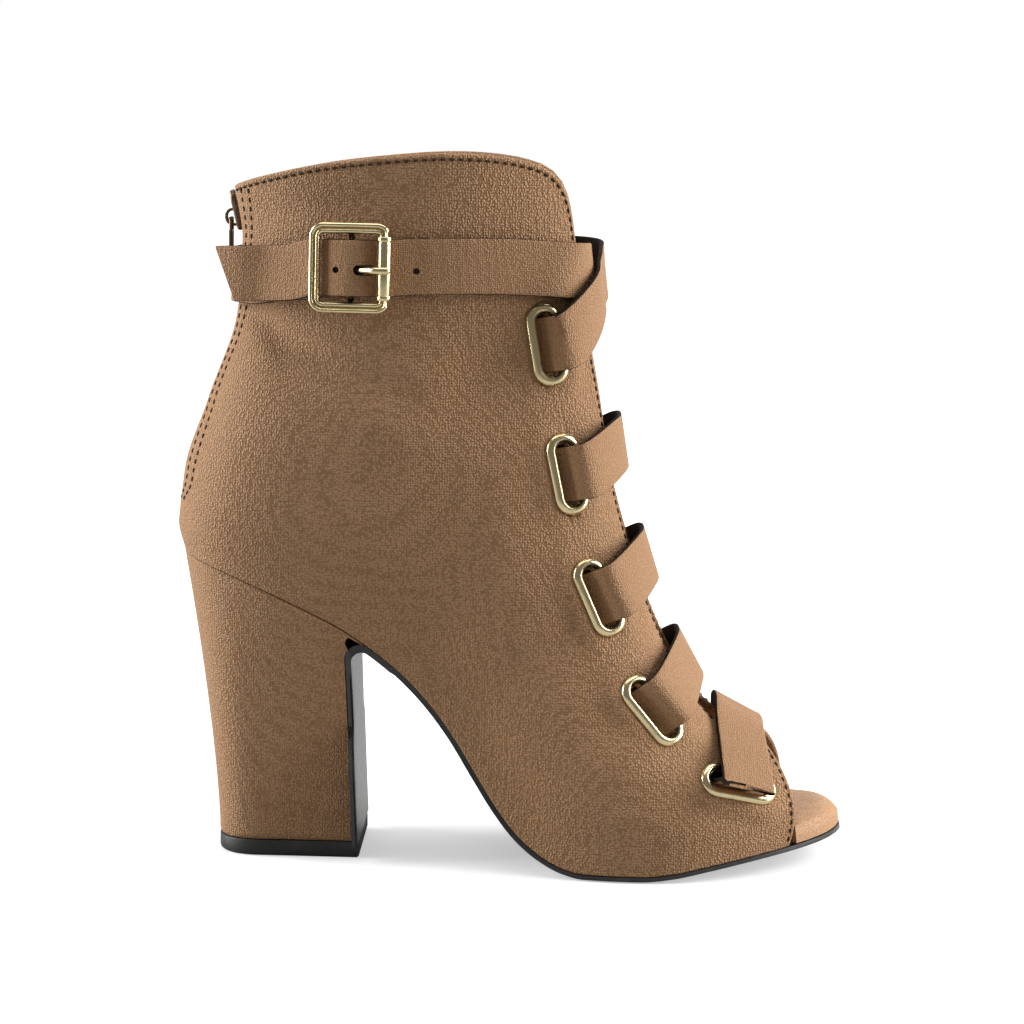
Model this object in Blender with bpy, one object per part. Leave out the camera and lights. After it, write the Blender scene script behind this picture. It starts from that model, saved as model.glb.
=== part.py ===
# Ankle bootie, right shoe: a peep-toe upper on a block heel, laced with one flat strap.
# Sizes are in millimetres; +X is the toe, -Y the outer side of the foot, +Z up.
# The origin is the middle of the heel tip's floor face.
import bpy
import bmesh
import numpy as np
from mathutils import Matrix, Vector

MM = 0.001

# Gaps and walls
FIT = 0.3                 # air between two pieces that touch in the real shoe
WALL = 1.8                # outer material and lining of the upper
SHEET = 1.8               # outsole sheet
FOOTBED = 3.6             # insole under the foot
FOOTBED_TOE = 5.4         # insole where it shows at the toe
CROWN_TOE = 2.6           # rise of the insole's middle at the toe

# Heel
TIP_HEIGHT = 5.1          # top piece
TIP_BACK = -21.5
TIP_HALF = 19.2
TIP_ROUND = 15.0          # back corners of the tip in plan
BREAST_TOP = 19.2         # front face of the heel under the seat
BREAST_LOW = 21.9         # front face of the heel at the tip
BREAST_FILLET = 4.4       # turn of the outsole from breast to shank
HEEL_SWEEP = 1.4          # how late the heel widens on its way up

THROAT_FROM = 86.5            # the throat edge is the rim past this x, under the collar's corner

# Opening at the toe: where the upper ends along the foot
TOE_EDGE = 158.0

# Eyelets
EYELET_HOLE = (19.4, 5.0)     # length and width of the opening
EYELET_LIP = 3.2              # width of the rim round the opening
EYELET_HEIGHT = 1.5
EYELET_BARREL = 0.8

# Lace and ankle straps
STRAP_WIDE = 17.0
STRAP_THICK = 1.6
LACE_REACH = 3.6              # middle of the lace in front of the throat edge
LACE_RISE = 5.0               # how far up the throat each arch of the lace climbs
TAIL_CUT = ((-22.4, 190.2), (-16.0, 173.6))   # slanted end of the strap's tail

# Zip
ZIP_GAP = 6.4                 # between the two bound edges of the back seam
ZIP_END = 113.0               # height of the bottom stop
TAPE_WIDE = 16.0
TAPE_THICK = 0.7
TAPE_DEEP = 0.75              # tape behind the inside of the back
TEETH_WIDE = 4.6
TEETH_THICK = 1.6

# Height of the sole's upper face along its middle, heel back to toe tip
SOLE_LINE = (
    # x, z
    (-40.0, 96.4), (-33.5, 94.6), (-20.3, 90.9), (-7.2, 86.0), (5.2, 80.5), (17.6, 74.2),
    (26.9, 67.9), (36.2, 60.4), (45.0, 51.4), (53.0, 41.0), (60.0, 29.9), (67.0, 19.4),
    (74.0, 11.2), (81.0, 6.0), (88.0, 2.9), (94.0, 1.8), (112.0, 1.8), (121.0, 2.6),
    (132.0, 4.5), (145.0, 6.6), (160.0, 8.5), (180.0, 10.4),
)

# Plan of the sole: half widths on the outer and inner side of the foot
OUTLINE_BACK = (-33.5, 0.0)
OUTLINE = (
    # x, outer, inner
    (-31.2, 11.0, 11.0), (-23.0, 21.2, 21.0), (-9.0, 26.4, 26.0), (8.0, 27.6, 26.6),
    (25.0, 26.6, 24.6), (41.0, 26.2, 22.6), (57.0, 28.6, 23.2), (73.0, 34.2, 28.0),
    (89.0, 40.2, 34.4), (105.0, 43.0, 38.2), (121.0, 42.2, 39.2), (137.0, 37.6, 37.8),
    (151.0, 30.6, 33.6), (163.0, 21.6, 26.8), (172.0, 10.4, 17.2),
)
OUTLINE_TIP = (176.2, 4.0)

# Edge of the upper seen from the side, collar back round to the toe corner
RIM = (
    # x, z, half gap or half width
    (-18.5, 209.0, 0.0), (-17.7, 209.5, 6.0), (-13.6, 210.8, 12.6), (-2.5, 213.7, 20.0),
    (10.2, 216.4, 24.8), (28.0, 218.7, 27.8), (46.5, 220.2, 27.8), (60.0, 220.0, 25.2),
    (72.0, 218.4, 21.0), (79.6, 215.6, 17.6), (83.8, 211.0, 15.2), (86.0, 204.5, 13.8),
    (88.0, 192.0, 12.8), (92.8, 163.8, 12.2), (96.3, 145.9, 12.0), (100.6, 121.1, 11.8),
    (105.0, 104.8, 11.6), (112.0, 83.5, 11.4), (120.6, 64.5, 11.4), (131.0, 48.6, 11.6),
    (141.0, 41.6, 11.8), (150.6, 38.4, 12.0),
)

# Ribs of the upper, heel back to toe opening: where each leaves the sole and meets
# the rim as a share of their lengths, how far it stands out of the straight line
# between them at five heights, and how far its middle leans to the toe
RIB_HEIGHTS = (0.0, 0.08, 0.22, 0.42, 0.65, 0.85, 1.0)
RIBS = (
    # sole, rim, edge, low, middle, high, top, lean
    (0.00, 0.000, 3.4, 3.6, -1.0, -6.3, -5.2, 0.0),
    (0.07, 0.060, 2.9, 3.6, 0.6, -4.2, -3.6, 0.0),
    (0.20, 0.170, 1.8, 3.6, 3.4, -0.6, -0.8, 0.0),
    (0.34, 0.310, 1.8, 5.2, 6.6, 2.2, 0.2, 0.0),
    (0.46, 0.470, 1.8, 6.8, 10.4, 8.0, 4.6, 0.0),
    (0.60, 0.640, 1.8, 6.6, 10.2, 9.2, 5.0, 0.0),
    (0.72, 0.770, 2.2, 7.0, 10.4, 9.6, 5.4, 0.0),
    (0.84, 0.885, 3.0, 7.2, 9.2, 8.0, 4.6, 0.0),
    (0.93, 0.950, 2.8, 6.2, 8.0, 7.0, 4.0, 0.6),
    (1.00, 1.000, 2.2, 5.2, 6.8, 5.8, 3.4, 1.2),
)

# Soft troughs in the upper where the strap and the ankle pull it in
CREASES = (
    # x, z, half length, half width, turn in degrees, depth
    (18.0, 156.0, 24.0, 7.0, -28.0, 1.1),
    (4.0, 147.0, 18.0, 6.0, -40.0, 0.8),
    (12.0, 203.0, 20.0, 5.0, -8.0, 0.6),
    (72.0, 62.0, 20.0, 8.0, 52.0, 0.7),
)

# Eyelets on the outer side, seen from the side: top end and bottom end of the opening
EYELETS = (
    # top x, top z, bottom x, bottom z
    (78.3, 170.9, 81.2, 154.5),
    (85.0, 131.2, 88.4, 115.5),
    (93.8, 92.7, 100.2, 78.6),
    (109.3, 57.4, 119.0, 45.8),
    (135.6, 30.3, 146.9, 27.6),
)


# Curves

def table(rows, column):
    return np.array([row[column] for row in rows], float)


def through(at, known_at, known):
    """Smooth values that never swing past the ones given."""
    x, y = np.asarray(known_at, float), np.asarray(known, float)
    h, d = np.diff(x), np.diff(y) / np.diff(x)
    slope = np.zeros_like(y)
    turns = d[:-1] * d[1:] > 0
    w1, w2 = 2 * h[1:] + h[:-1], h[1:] + 2 * h[:-1]
    slope[1:-1][turns] = ((w1 + w2)[turns]
                          / (w1[turns] / d[:-1][turns] + w2[turns] / d[1:][turns]))
    slope[0], slope[-1] = d[0], d[-1]
    at = np.clip(np.asarray(at, float), x[0], x[-1])
    i = np.clip(np.searchsorted(x, at, side="right") - 1, 0, len(h) - 1)
    t = (at - x[i]) / h[i]
    return ((1 + 2 * t) * (1 - t) ** 2 * y[i] + t * (1 - t) ** 2 * h[i] * slope[i]
            + t * t * (3 - 2 * t) * y[i + 1] + t * t * (t - 1) * h[i] * slope[i + 1])


def spline(points, steps=12):
    """A rounded line through points, as a dense polyline."""
    p = np.asarray(points, float)
    p = np.vstack((2 * p[0] - p[1], p, 2 * p[-1] - p[-2]))
    out = []
    for k in range(1, len(p) - 2):
        a, b, c, d = p[k - 1:k + 3]
        ta = 0.0
        tb = ta + np.linalg.norm(b - a) ** 0.5
        tc = tb + np.linalg.norm(c - b) ** 0.5
        td = tc + np.linalg.norm(d - c) ** 0.5
        for t in np.linspace(tb, tc, steps, endpoint=False):
            ab = a + (b - a) * (t - ta) / (tb - ta)
            bc = b + (c - b) * (t - tb) / (tc - tb)
            cd = c + (d - c) * (t - tc) / (td - tc)
            abc = ab + (bc - ab) * (t - ta) / (tc - ta)
            bcd = bc + (cd - bc) * (t - tb) / (td - tb)
            out.append(abc + (bcd - abc) * (t - tb) / (tc - tb))
    out.append(p[-2])
    return np.array(out)


def lengths(line):
    return np.concatenate(([0.0], np.cumsum(np.linalg.norm(np.diff(line, axis=0), axis=1))))


def shares(line, at):
    """Points at shares of a polyline's length."""
    s = lengths(line)
    s = s / s[-1]
    return np.stack([np.interp(at, s, line[:, k]) for k in range(line.shape[1])], -1)


def unit(v):
    v = np.asarray(v, float)
    return v / np.maximum(np.linalg.norm(v, axis=-1, keepdims=True), 1e-12)


# Sole shapes

def sole_z(x):
    return through(x, table(SOLE_LINE, 0), table(SOLE_LINE, 1))


def plan_side(side):
    """Plan outline of one side, heel back to toe tip: -1 outer, 1 inner."""
    rows = [OUTLINE_BACK] + [(r[0], side * r[1 if side < 0 else 2]) for r in OUTLINE]
    back = [(OUTLINE[0][0], -side * OUTLINE[0][1])]
    front = [(OUTLINE[-1][0], -side * OUTLINE[-1][2 if side < 0 else 1])]
    line = spline(back + rows + [OUTLINE_TIP] + front, 12)
    return line[12:-12]


PLAN = {side: plan_side(side) for side in (-1, 1)}


def plan_half(side, x, inset=0.0):
    """Where the outline, drawn in by inset, stands at x: a signed width."""
    line = PLAN[side]
    if inset:
        t = unit(np.gradient(line, axis=0))
        inward = np.stack((t[:, 1], -t[:, 0]), -1) * side
        line = line + inward * inset
        line[0, 1], line[-1, 1] = 0.0, OUTLINE_TIP[1]
    keep = np.concatenate(([True], np.diff(np.maximum.accumulate(line[:, 0])) > 0))
    return np.interp(x, line[keep, 0], line[keep, 1])


# Meshes

def material(name, colour, rough, metal=0.0):
    mat = bpy.data.materials.new(name)
    mat.use_nodes = True
    shader = mat.node_tree.nodes["Principled BSDF"]
    shader.inputs["Base Color"].default_value = (*colour, 1.0)
    shader.inputs["Roughness"].default_value = rough
    shader.inputs["Metallic"].default_value = metal
    mat.diffuse_color = (*colour, 1.0)
    return mat


def solid(name, points, faces, mat):
    """One closed body, faces turned outward."""
    mesh = bpy.data.meshes.new(name)
    bm = bmesh.new()
    verts = [bm.verts.new(Vector(p) * MM) for p in points]
    for face in faces:
        bm.faces.new([verts[i] for i in face])
    bmesh.ops.remove_doubles(bm, verts=bm.verts, dist=1e-7)
    bmesh.ops.triangulate(bm, faces=bm.faces, quad_method="SHORT_EDGE")
    bmesh.ops.recalc_face_normals(bm, faces=bm.faces)
    if bm.calc_volume(signed=True) < 0:
        bmesh.ops.reverse_faces(bm, faces=bm.faces)
    bm.to_mesh(mesh)
    bm.free()
    ob = bpy.data.objects.new(name, mesh)
    bpy.context.scene.collection.objects.link(ob)
    if mat is not None:
        mesh.materials.append(mat)
    return ob


def between(name, outer, inner, mat):
    """A closed wall between two grids of points of the same size."""
    rows, cols = outer.shape[:2]
    points = np.concatenate((outer.reshape(-1, 3), inner.reshape(-1, 3)))
    n = rows * cols
    at = lambda r, c: r * cols + c
    faces = []
    for r in range(rows - 1):
        for c in range(cols - 1):
            quad = (at(r, c), at(r, c + 1), at(r + 1, c + 1), at(r + 1, c))
            faces.append(quad)
            faces.append(tuple(n + k for k in reversed(quad)))
    edge = ([at(0, c) for c in range(cols)] + [at(r, cols - 1) for r in range(1, rows)]
            + [at(rows - 1, c) for c in range(cols - 2, -1, -1)]
            + [at(r, 0) for r in range(rows - 2, 0, -1)])
    for a, b in zip(edge, edge[1:] + edge[:1]):
        faces.append((b, a, n + a, n + b))
    return solid(name, points, faces, mat)


def stacked(name, rings, mat):
    """A closed body through rings of points, flat at both ends."""
    rings = np.asarray(rings)
    count, around = rings.shape[:2]
    faces = [tuple(range(around - 1, -1, -1)),
             tuple((count - 1) * around + k for k in range(around))]
    for r in range(count - 1):
        for c in range(around):
            d = (c + 1) % around
            faces.append((r * around + c, r * around + d,
                          (r + 1) * around + d, (r + 1) * around + c))
    return solid(name, rings.reshape(-1, 3), faces, mat)


def looped(name, rings, mat):
    """A closed ring through sections that come back to the first."""
    rings = np.asarray(rings)
    count, around = rings.shape[:2]
    faces = []
    for r in range(count):
        for c in range(around):
            d, s = (c + 1) % around, (r + 1) % count
            faces.append((r * around + c, r * around + d, s * around + d, s * around + c))
    return solid(name, rings.reshape(-1, 3), faces, mat)


def combine(target, tool, operation):
    """Cut the tool out of the target, or join it to it, and drop the tool."""
    mod = target.modifiers.new(operation.lower(), "BOOLEAN")
    mod.operation, mod.object, mod.solver = operation, tool, "EXACT"
    scene = bpy.context.evaluated_depsgraph_get()
    mesh = bpy.data.meshes.new_from_object(target.evaluated_get(scene))
    target.modifiers.clear()
    target.data = mesh
    bpy.data.objects.remove(tool)


def box(name, size, centre, mat=None):
    hx, hy, hz = (0.5 * s for s in size)
    ring = lambda z: [(centre[0] + sx * hx, centre[1] + sy * hy, centre[2] + z)
                      for sx, sy in ((-1, -1), (1, -1), (1, 1), (-1, 1))]
    return stacked(name, [ring(-hz), ring(hz)], mat)


# Upper

def feather(side):
    """Bottom edge of the upper on one side, heel back to toe opening."""
    line = PLAN[side]
    line = line[line[:, 0] <= TOE_EDGE]
    line = np.vstack((line, (TOE_EDGE, plan_half(side, TOE_EDGE))))
    return np.column_stack((line, sole_z(line[:, 0]) + FIT))


def rim(side):
    line = spline([(-17.7, -6.0, 209.5)] + [(r[0], r[2], r[1]) for r in RIM], 10)[10:]
    line[:, 1] *= side
    return line


EDGES = {side: (feather(side), rim(side)) for side in (-1, 1)}


def rib_ends(side, u):
    foot, top = EDGES[side]
    return (shares(foot, through(u, RIB_AT, table(RIBS, 0))),
            shares(top, through(u, RIB_AT, table(RIBS, 1))))


RIB_AT = np.linspace(0.0, 1.0, len(RIBS))


def bulge(u, v):
    """How far the upper stands out of its straight ribs."""
    out = np.zeros(np.broadcast(u, v).shape)
    columns = [np.zeros_like(RIB_AT)] + [table(RIBS, k) for k in range(2, 7)] + [np.zeros_like(RIB_AT)]
    values = np.stack([through(u, RIB_AT, column) for column in columns], -1)
    v = np.broadcast_to(v, out.shape)
    for index in np.ndindex(out.shape):
        out[index] = through(v[index], RIB_HEIGHTS, values[index])
    return out


def trough(x, z):
    """Depth of the soft creases at a place seen from the side."""
    depth = np.zeros(np.broadcast(x, z).shape)
    for cx, cz, long, wide, turn, deep in CREASES:
        c, s = np.cos(np.radians(turn)), np.sin(np.radians(turn))
        a = ((x - cx) * c + (z - cz) * s) / long
        b = (-(x - cx) * s + (z - cz) * c) / wide
        depth += deep * np.exp(-a * a - b * b)
    return depth


def skin(side, u, v):
    """Outer face of the upper: u from heel back to toe opening, v from sole to rim."""
    u, v = np.meshgrid(u, v, indexing="ij")
    foot, top = rib_ends(side, u)
    step = 1e-3
    foot_a, top_a = rib_ends(side, np.clip(u - step, 0, 1))
    foot_b, top_b = rib_ends(side, np.clip(u + step, 0, 1))
    rib = unit(top - foot)
    along = (1 - v)[..., None] * (foot_b - foot_a) + v[..., None] * (top_b - top_a)
    along = np.where((u < 1e-6)[..., None], (0.0, side * 1.0, 0.0), along)
    out = unit(np.cross(rib, along)) * side
    place = foot + (top - foot) * v[..., None] + out * bulge(u, v)[..., None]
    place[..., 0] += 4 * v * (1 - v) * through(u, RIB_AT, table(RIBS, 7))
    return place - out * trough(place[..., 0], place[..., 2])[..., None] * np.minimum(1, 6 * v * (1 - v))[..., None]


def skin_normal(side, u, v):
    step = 2e-3
    u, v = np.atleast_1d(u), np.atleast_1d(v)
    grid = lambda uu, vv: skin(side, np.clip(uu, 0, 1), np.clip(vv, 0, 1))
    du = grid(u + step, v) - grid(u - step, v)
    dv = grid(u, v + step) - grid(u, v - step)
    du[u < step] = (0.0, side * 1.0, 0.0)
    return unit(np.cross(dv, du)) * side


def find(side, x, z):
    """Place on the upper seen at x, z from the side: (u, v)."""
    us, vs = np.linspace(0.02, 1, 60), np.linspace(0.3, 1, 40)
    grid = skin(side, us, vs)
    miss = (grid[..., 0] - x) ** 2 + (grid[..., 2] - z) ** 2
    i, j = np.unravel_index(np.argmin(miss), miss.shape)
    at = np.array([us[i], vs[j]])
    for _ in range(8):
        here = skin(side, at[:1], at[1:])[0, 0]
        ju = (skin(side, at[:1] + 1e-3, at[1:])[0, 0] - here) / 1e-3
        jv = (skin(side, at[:1], at[1:] - 1e-3)[0, 0] - here) / -1e-3
        jac = np.array([[ju[0], jv[0]], [ju[2], jv[2]]])
        at = at - np.linalg.solve(jac, (here[0] - x, here[2] - z))
        at = np.clip(at, 0, 1)
    return at


def frame_at(side, x, z):
    """Point and outward direction of the upper seen at x, z."""
    u, v = find(side, x, z)
    return skin(side, [u], [v])[0, 0], skin_normal(side, u, v)[0, 0]


RIB_SHARES = np.concatenate((np.linspace(0, 0.34, 9),
                             (0.358, 0.374, 0.388, 0.404, 0.43), np.linspace(0.47, 1.0, 14)))
HEIGHT_SHARES = np.array((0, 0.035, 0.1, 0.19, 0.3, 0.41, 0.52, 0.63, 0.74, 0.84, 0.93, 1.0))


def upper_grids():
    outer, inner = [], []
    for side in (-1, 1):
        place = skin(side, RIB_SHARES, HEIGHT_SHARES)
        normal = skin_normal(side, RIB_SHARES, HEIGHT_SHARES)
        inside = place - normal * WALL
        flat = unit(normal[:, 0, :2])
        inside[:, 0, :2] = place[:, 0, :2] - flat * WALL
        inside[:, 0, 2] = sole_z(inside[:, 0, 0]) + FIT
        if side > 0:
            place, inside = place[1:], inside[1:]
        else:
            place, inside = place[::-1], inside[::-1]
        outer.append(place)
        inner.append(inside)
    return np.concatenate(outer), np.concatenate(inner)


def stadium(length, width, per_end=8):
    """Points round a long opening with round ends, long way along the first axis."""
    r = 0.5 * width
    half = 0.5 * length - r
    turn = np.linspace(-np.pi / 2, np.pi / 2, per_end)
    right = np.stack((half + r * np.cos(turn), r * np.sin(turn)), -1)
    return np.concatenate((right, -right))


def eyelet_frame(side, k):
    """Centre, long axis, cross axis and outward axis of one eyelet."""
    tx, tz, bx, bz = EYELETS[k]
    top, _ = frame_at(side, tx, tz)
    low, _ = frame_at(side, bx, bz)
    u, v = find(side, 0.5 * (tx + bx), 0.5 * (tz + bz))
    centre, out = skin(side, [u], [v])[0, 0], skin_normal(side, u, v)[0, 0]
    long = unit(top - low)
    out = unit(out - long * np.dot(out, long))
    cross = np.cross(out, long)
    near = skin(side, np.linspace(max(u - 0.06, 0), min(u + 0.06, 1), 15),
                np.linspace(max(v - 0.16, 0), min(v + 0.16, 1), 15)).reshape(-1, 3) - centre
    under = ((abs(near @ long) < 0.5 * EYELET_HOLE[0] + EYELET_LIP)
             & (abs(near @ cross) < 0.5 * EYELET_HOLE[1] + EYELET_LIP))
    return centre + out * max(0.0, (near[under] @ out).max()), long, cross, out


def upper(mat):
    body = between("upper", *upper_grids(), mat)
    clear = 2 * (EYELET_BARREL + FIT)
    for side in (-1, 1):
        for k in range(len(EYELETS)):
            centre, long, cross, out = EYELET_FRAMES[side, k]
            shape = stadium(EYELET_HOLE[0] + clear, EYELET_HOLE[1] + clear, 6)
            rings = [[centre + long * a + cross * b + out * h for a, b in shape]
                     for h in (-6.0, 5.0)]
            combine(body, stacked("cutter", rings, None), "DIFFERENCE")
    slot = box("cutter", (30.0, ZIP_GAP, 120.0), (-25.0, 0.0, ZIP_END + 60.0))
    combine(body, slot, "DIFFERENCE")
    return body


def eyelet(name, frame, mat):
    """A rolled rim on the outside with its barrel through the wall."""
    centre, long, cross, out = frame
    hole_l, hole_w = EYELET_HOLE
    lip, high, barrel = EYELET_LIP, EYELET_HEIGHT, EYELET_BARREL
    section = (
        # outward from the opening, height over the leather
        (0.0, -WALL - FIT), (0.0, 0.5 * high), (0.4 * lip, high), (lip, FIT), (barrel, FIT), (barrel, -WALL - FIT),
    )
    rings = []
    for a, b, na, nb in [(*p, *n) for p, n in zip(stadium(hole_l, hole_w, 6), stadium_normals(6))]:
        rings.append([centre + long * (a + na * s) + cross * (b + nb * s) + out * h
                      for s, h in section])
    return looped(name, rings, mat)


def stadium_normals(per_end):
    turn = np.linspace(-np.pi / 2, np.pi / 2, per_end)
    right = np.stack((np.cos(turn), np.sin(turn)), -1)
    return np.concatenate((right, -right))


# Soles and heel

def corner(line, x_side, radius):
    """Round the turn between an upright line at x_side and a falling line: arc points."""
    cx = x_side + radius
    low, high = 0.0, 120.0
    for _ in range(50):
        cz = 0.5 * (low + high)
        gap = np.min(np.hypot(line[:, 0] - cx, line[:, 1] - cz))
        inside = cz < np.interp(cx, line[:, 0], line[:, 1])
        if inside and gap > radius:
            low = cz
        else:
            high = cz
    k = np.argmin(np.hypot(line[:, 0] - cx, line[:, 1] - cz))
    end = np.arctan2(line[k, 1] - cz, line[k, 0] - cx)
    turn = np.linspace(np.pi, end, 8)
    return np.stack((cx + radius * np.cos(turn), cz + radius * np.sin(turn)), -1), line[k, 0]


def sole_face(drop):
    """Side view of the sole line, lowered square to itself."""
    x = np.linspace(-34.0, 180.0, 900)
    z = sole_z(x)
    t = unit(np.stack((np.gradient(x), np.gradient(z)), -1))
    return np.stack((x + t[:, 1] * drop, z - t[:, 0] * drop), -1)


TOP_FACE = sole_face(0.0)
UNDER_FACE = sole_face(SHEET)


def breast_x(z):
    return np.interp(z, (TIP_HEIGHT, 64.0), (BREAST_LOW, BREAST_TOP))


TOP_TURN, TOP_TURN_END = corner(TOP_FACE, BREAST_TOP, BREAST_FILLET)
UNDER_TURN, UNDER_TURN_END = corner(UNDER_FACE, BREAST_TOP + SHEET, BREAST_FILLET - 1.2)
TIP_X = OUTLINE_TIP[0]
SOLE_ROWS = np.concatenate((np.linspace(30.0, 94.0, 17), (100.0, 106.0, 112.0),
                            np.linspace(118.0, 166.0, 9), (169.0, 171.5, 173.5, 175.0, 175.9)))


def heel_share(z):
    top = sole_z(BREAST_TOP)
    return np.clip((z - TIP_HEIGHT) / (top - TIP_HEIGHT), 0, 1) ** HEEL_SWEEP


def flap_half(side, z):
    """Half width of the heel's front face at a height."""
    share = heel_share(z)
    return side * TIP_HALF * (1 - share) + plan_half(side, BREAST_TOP) * share


def outsole(mat):
    rise = np.linspace(TIP_HEIGHT + FIT, TOP_TURN[0, 1], 6)[:-1]
    top = [(breast_x(z), z) for z in rise] + list(TOP_TURN)
    rise = np.linspace(TIP_HEIGHT + FIT, UNDER_TURN[0, 1], 6)[:-1]
    under = [(breast_x(z) + SHEET, z) for z in rise] + list(UNDER_TURN)
    half = []
    for (x, z) in top:
        on_sole = x > BREAST_TOP + 1.0
        half.append([plan_half(s, x) if on_sole else flap_half(s, z) for s in (-1, 1)])
    for x in SOLE_ROWS:
        top.append((x, float(sole_z(x))))
        step = 0.05
        tx, tz = unit((2 * step, float(sole_z(x + step) - sole_z(x - step))))
        under.append((x + tz * SHEET, float(sole_z(x)) - tx * SHEET))
        half.append([plan_half(s, min(x, TIP_X - 0.1)) for s in (-1, 1)])
    cols = np.array((0.0, 0.04, 0.5, 0.96, 1.0))
    rounding = np.array((0.35, 0.0, 0.0, 0.0, 0.35))
    upper_side, lower_side = [], []
    for (tx, tz), (bx, bz), (lo, hi) in zip(top, under, half):
        y = lo + (hi - lo) * cols
        upper_side.append([(tx, w, tz) for w in y])
        lift = rounding if bz < 60 else 0 * rounding
        lower_side.append([(bx + (tx - bx) * l, w, bz + (tz - bz) * l) for w, l in zip(y, lift)])
    return between("outsole", np.array(upper_side), np.array(lower_side), mat)


def insole(mat):
    """Footbed inside the upper; at the toe it fills the whole outline."""
    inset = WALL + FIT + 0.45
    rows = np.concatenate(((-33.5 + inset + 0.15, -30.2, -28.2, -25.0, -20.0),
                           np.linspace(-12.0, 84.0, 14),
                           np.linspace(92.0, 156.0, 8), (TOE_EDGE + 0.6, TOE_EDGE + 2.4),
                           (164.0, 168.0, 171.0, 173.2, 175.0, 175.8)))
    out = np.clip((rows - TOE_EDGE - 0.6) / 1.8, 0, 1)
    cols = np.array((0.0, 0.025, 0.2, 0.5, 0.8, 0.975, 1.0))
    sink = np.array((0.55, 0.12, 0.0, 0.0, 0.0, 0.12, 0.55))
    under, over = [], []
    for x, o in zip(rows, out):
        tuck = inset + np.interp(x, (100.0, 130.0), (0.0, 0.4))
        lo, hi = [(1 - o) * plan_half(s, x, tuck) + o * plan_half(s, x, 0.4) for s in (-1, 1)]
        y = lo + (hi - lo) * cols
        z = sole_z(x) + FIT
        thick = np.interp(x, (120.0, TOE_EDGE), (FOOTBED, FOOTBED_TOE))
        crown = np.interp(x, (110.0, TOE_EDGE), (0.6, CROWN_TOE)) * 4 * cols * (1 - cols)
        end = np.sqrt(np.clip((TIP_X - x) / 6.0, 0.02, 1))
        tx, tz = unit((0.1, float(sole_z(x + 0.05) - sole_z(x - 0.05))))
        base_x = x
        rise = (thick * (1 - sink) + crown) * (0.45 + 0.55 * end)
        under.append([(base_x, w, z) for w in y])
        over.append([(base_x - tz * r, w, z + tx * r) for w, r in zip(y, rise)])
    return between("insole", np.array(over), np.array(under), mat)


def tip_plan(front, count=22):
    """Plan of the heel tip from its outer front corner round the back: D shape."""
    turn = np.linspace(0.0, np.pi / 2, 7)
    power = 0.8
    back = TIP_BACK
    corner_pts = [(back + TIP_ROUND * (1 - np.sin(t) ** power), -TIP_HALF + TIP_ROUND * (1 - np.cos(t) ** power))
                  for t in turn]
    side = [(front, -TIP_HALF)] + corner_pts + [(back, 0.0)]
    line = np.array(side + [(x, -y) for x, y in side[-2::-1]])
    return shares(line, np.linspace(0, 1, count))


def seat_plan(front, count=22):
    line = []
    for side in (-1, 1):
        part = PLAN[side][PLAN[side][:, 0] < front]
        part = np.vstack((part, (front, plan_half(side, front))))
        line.append(part[::-1] if side < 0 else part[1:])
    return shares(np.concatenate(line), np.linspace(0, 1, count))


def heel(mat):
    """Covered block, its top on the slope of the seat and its front on the breast flap."""
    base = TIP_HEIGHT + FIT
    rings = []
    for h in (0.0, 0.015, 0.2, 0.4, 0.6, 0.76, 0.86, 0.9, 0.935, 0.965, 0.985, 1.0):
        front = float(breast_x(base + h * 60)) - FIT
        top = float(sole_z(front))
        for _ in range(12):
            z = base + h * (float(sole_z(front)) - base)
            front = float(breast_x(z)) - FIT
            if z > TOP_TURN[0, 1]:
                front = float(np.interp(z + FIT, TOP_TURN[:, 1], TOP_TURN[:, 0])) - FIT
        front = min(front, TOP_TURN_END - 1.6)
        share = h ** HEEL_SWEEP
        plan = tip_plan(front) * (1 - share) + seat_plan(front) * share
        z = base + h * (sole_z(plan[:, 0]) - base)
        inset = 0.5 if h == 0.0 else 0.0
        mid = plan.mean(axis=0)
        plan = plan - unit(plan - mid) * inset
        rings.append(np.column_stack((plan, z)))
    return stacked("heel", rings, mat)


def top_piece(mat):
    front = BREAST_LOW + SHEET
    plan = tip_plan(front, 26)
    mid = plan.mean(axis=0)
    rings = []
    for z, inset in ((0.0, 0.9), (0.9, 0.0), (TIP_HEIGHT, 0.0)):
        ring = plan - unit(plan - mid) * inset
        rings.append(np.column_stack((ring, np.full(len(ring), z))))
    return stacked("top_piece", rings, mat)


# Lace and straps

def ribbon(name, path, mat, wide=STRAP_WIDE, thick=STRAP_THICK, sides=(-1.0, 1.0)):
    """A flat strap along a path of rows: centre, direction across."""
    centre, across = path[:, :3], unit(path[:, 3:6])
    along = unit(np.gradient(centre, axis=0))
    across = unit(across - along * np.sum(across * along, -1, keepdims=True))
    face = np.cross(along, across)
    grids = []
    for lift in (0.5, -0.5):
        rows = [centre + across * (0.5 * wide * k) + face * (lift * thick) for k in sides]
        grids.append(np.stack(rows, 1))
    return between(name, grids[0], grids[1], mat)


def smooth_path(rows, steps):
    rows = np.array([np.concatenate((p, 6.0 * unit(w))) for p, w in rows])
    return spline(rows, steps)


def throat_line():
    """Throat edge seen from the side, toe end first: x and z."""
    line = EDGES[-1][1]
    front = line[line[:, 0] > THROAT_FROM]
    return front[::-1][:, (0, 2)]


THROAT = throat_line()
THROAT_AT = lengths(THROAT)


def throat(s):
    """Place on the throat edge s from the toe, and the direction square to it, forward and up."""
    at = lambda q: np.array([np.interp(q, THROAT_AT, THROAT[:, i]) for i in (0, 1)])
    here, along = at(s), unit(at(s + 2) - at(s - 2))
    return np.array((here[0], 0.0, here[1])), np.array((along[1], 0.0, -along[0]))


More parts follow.
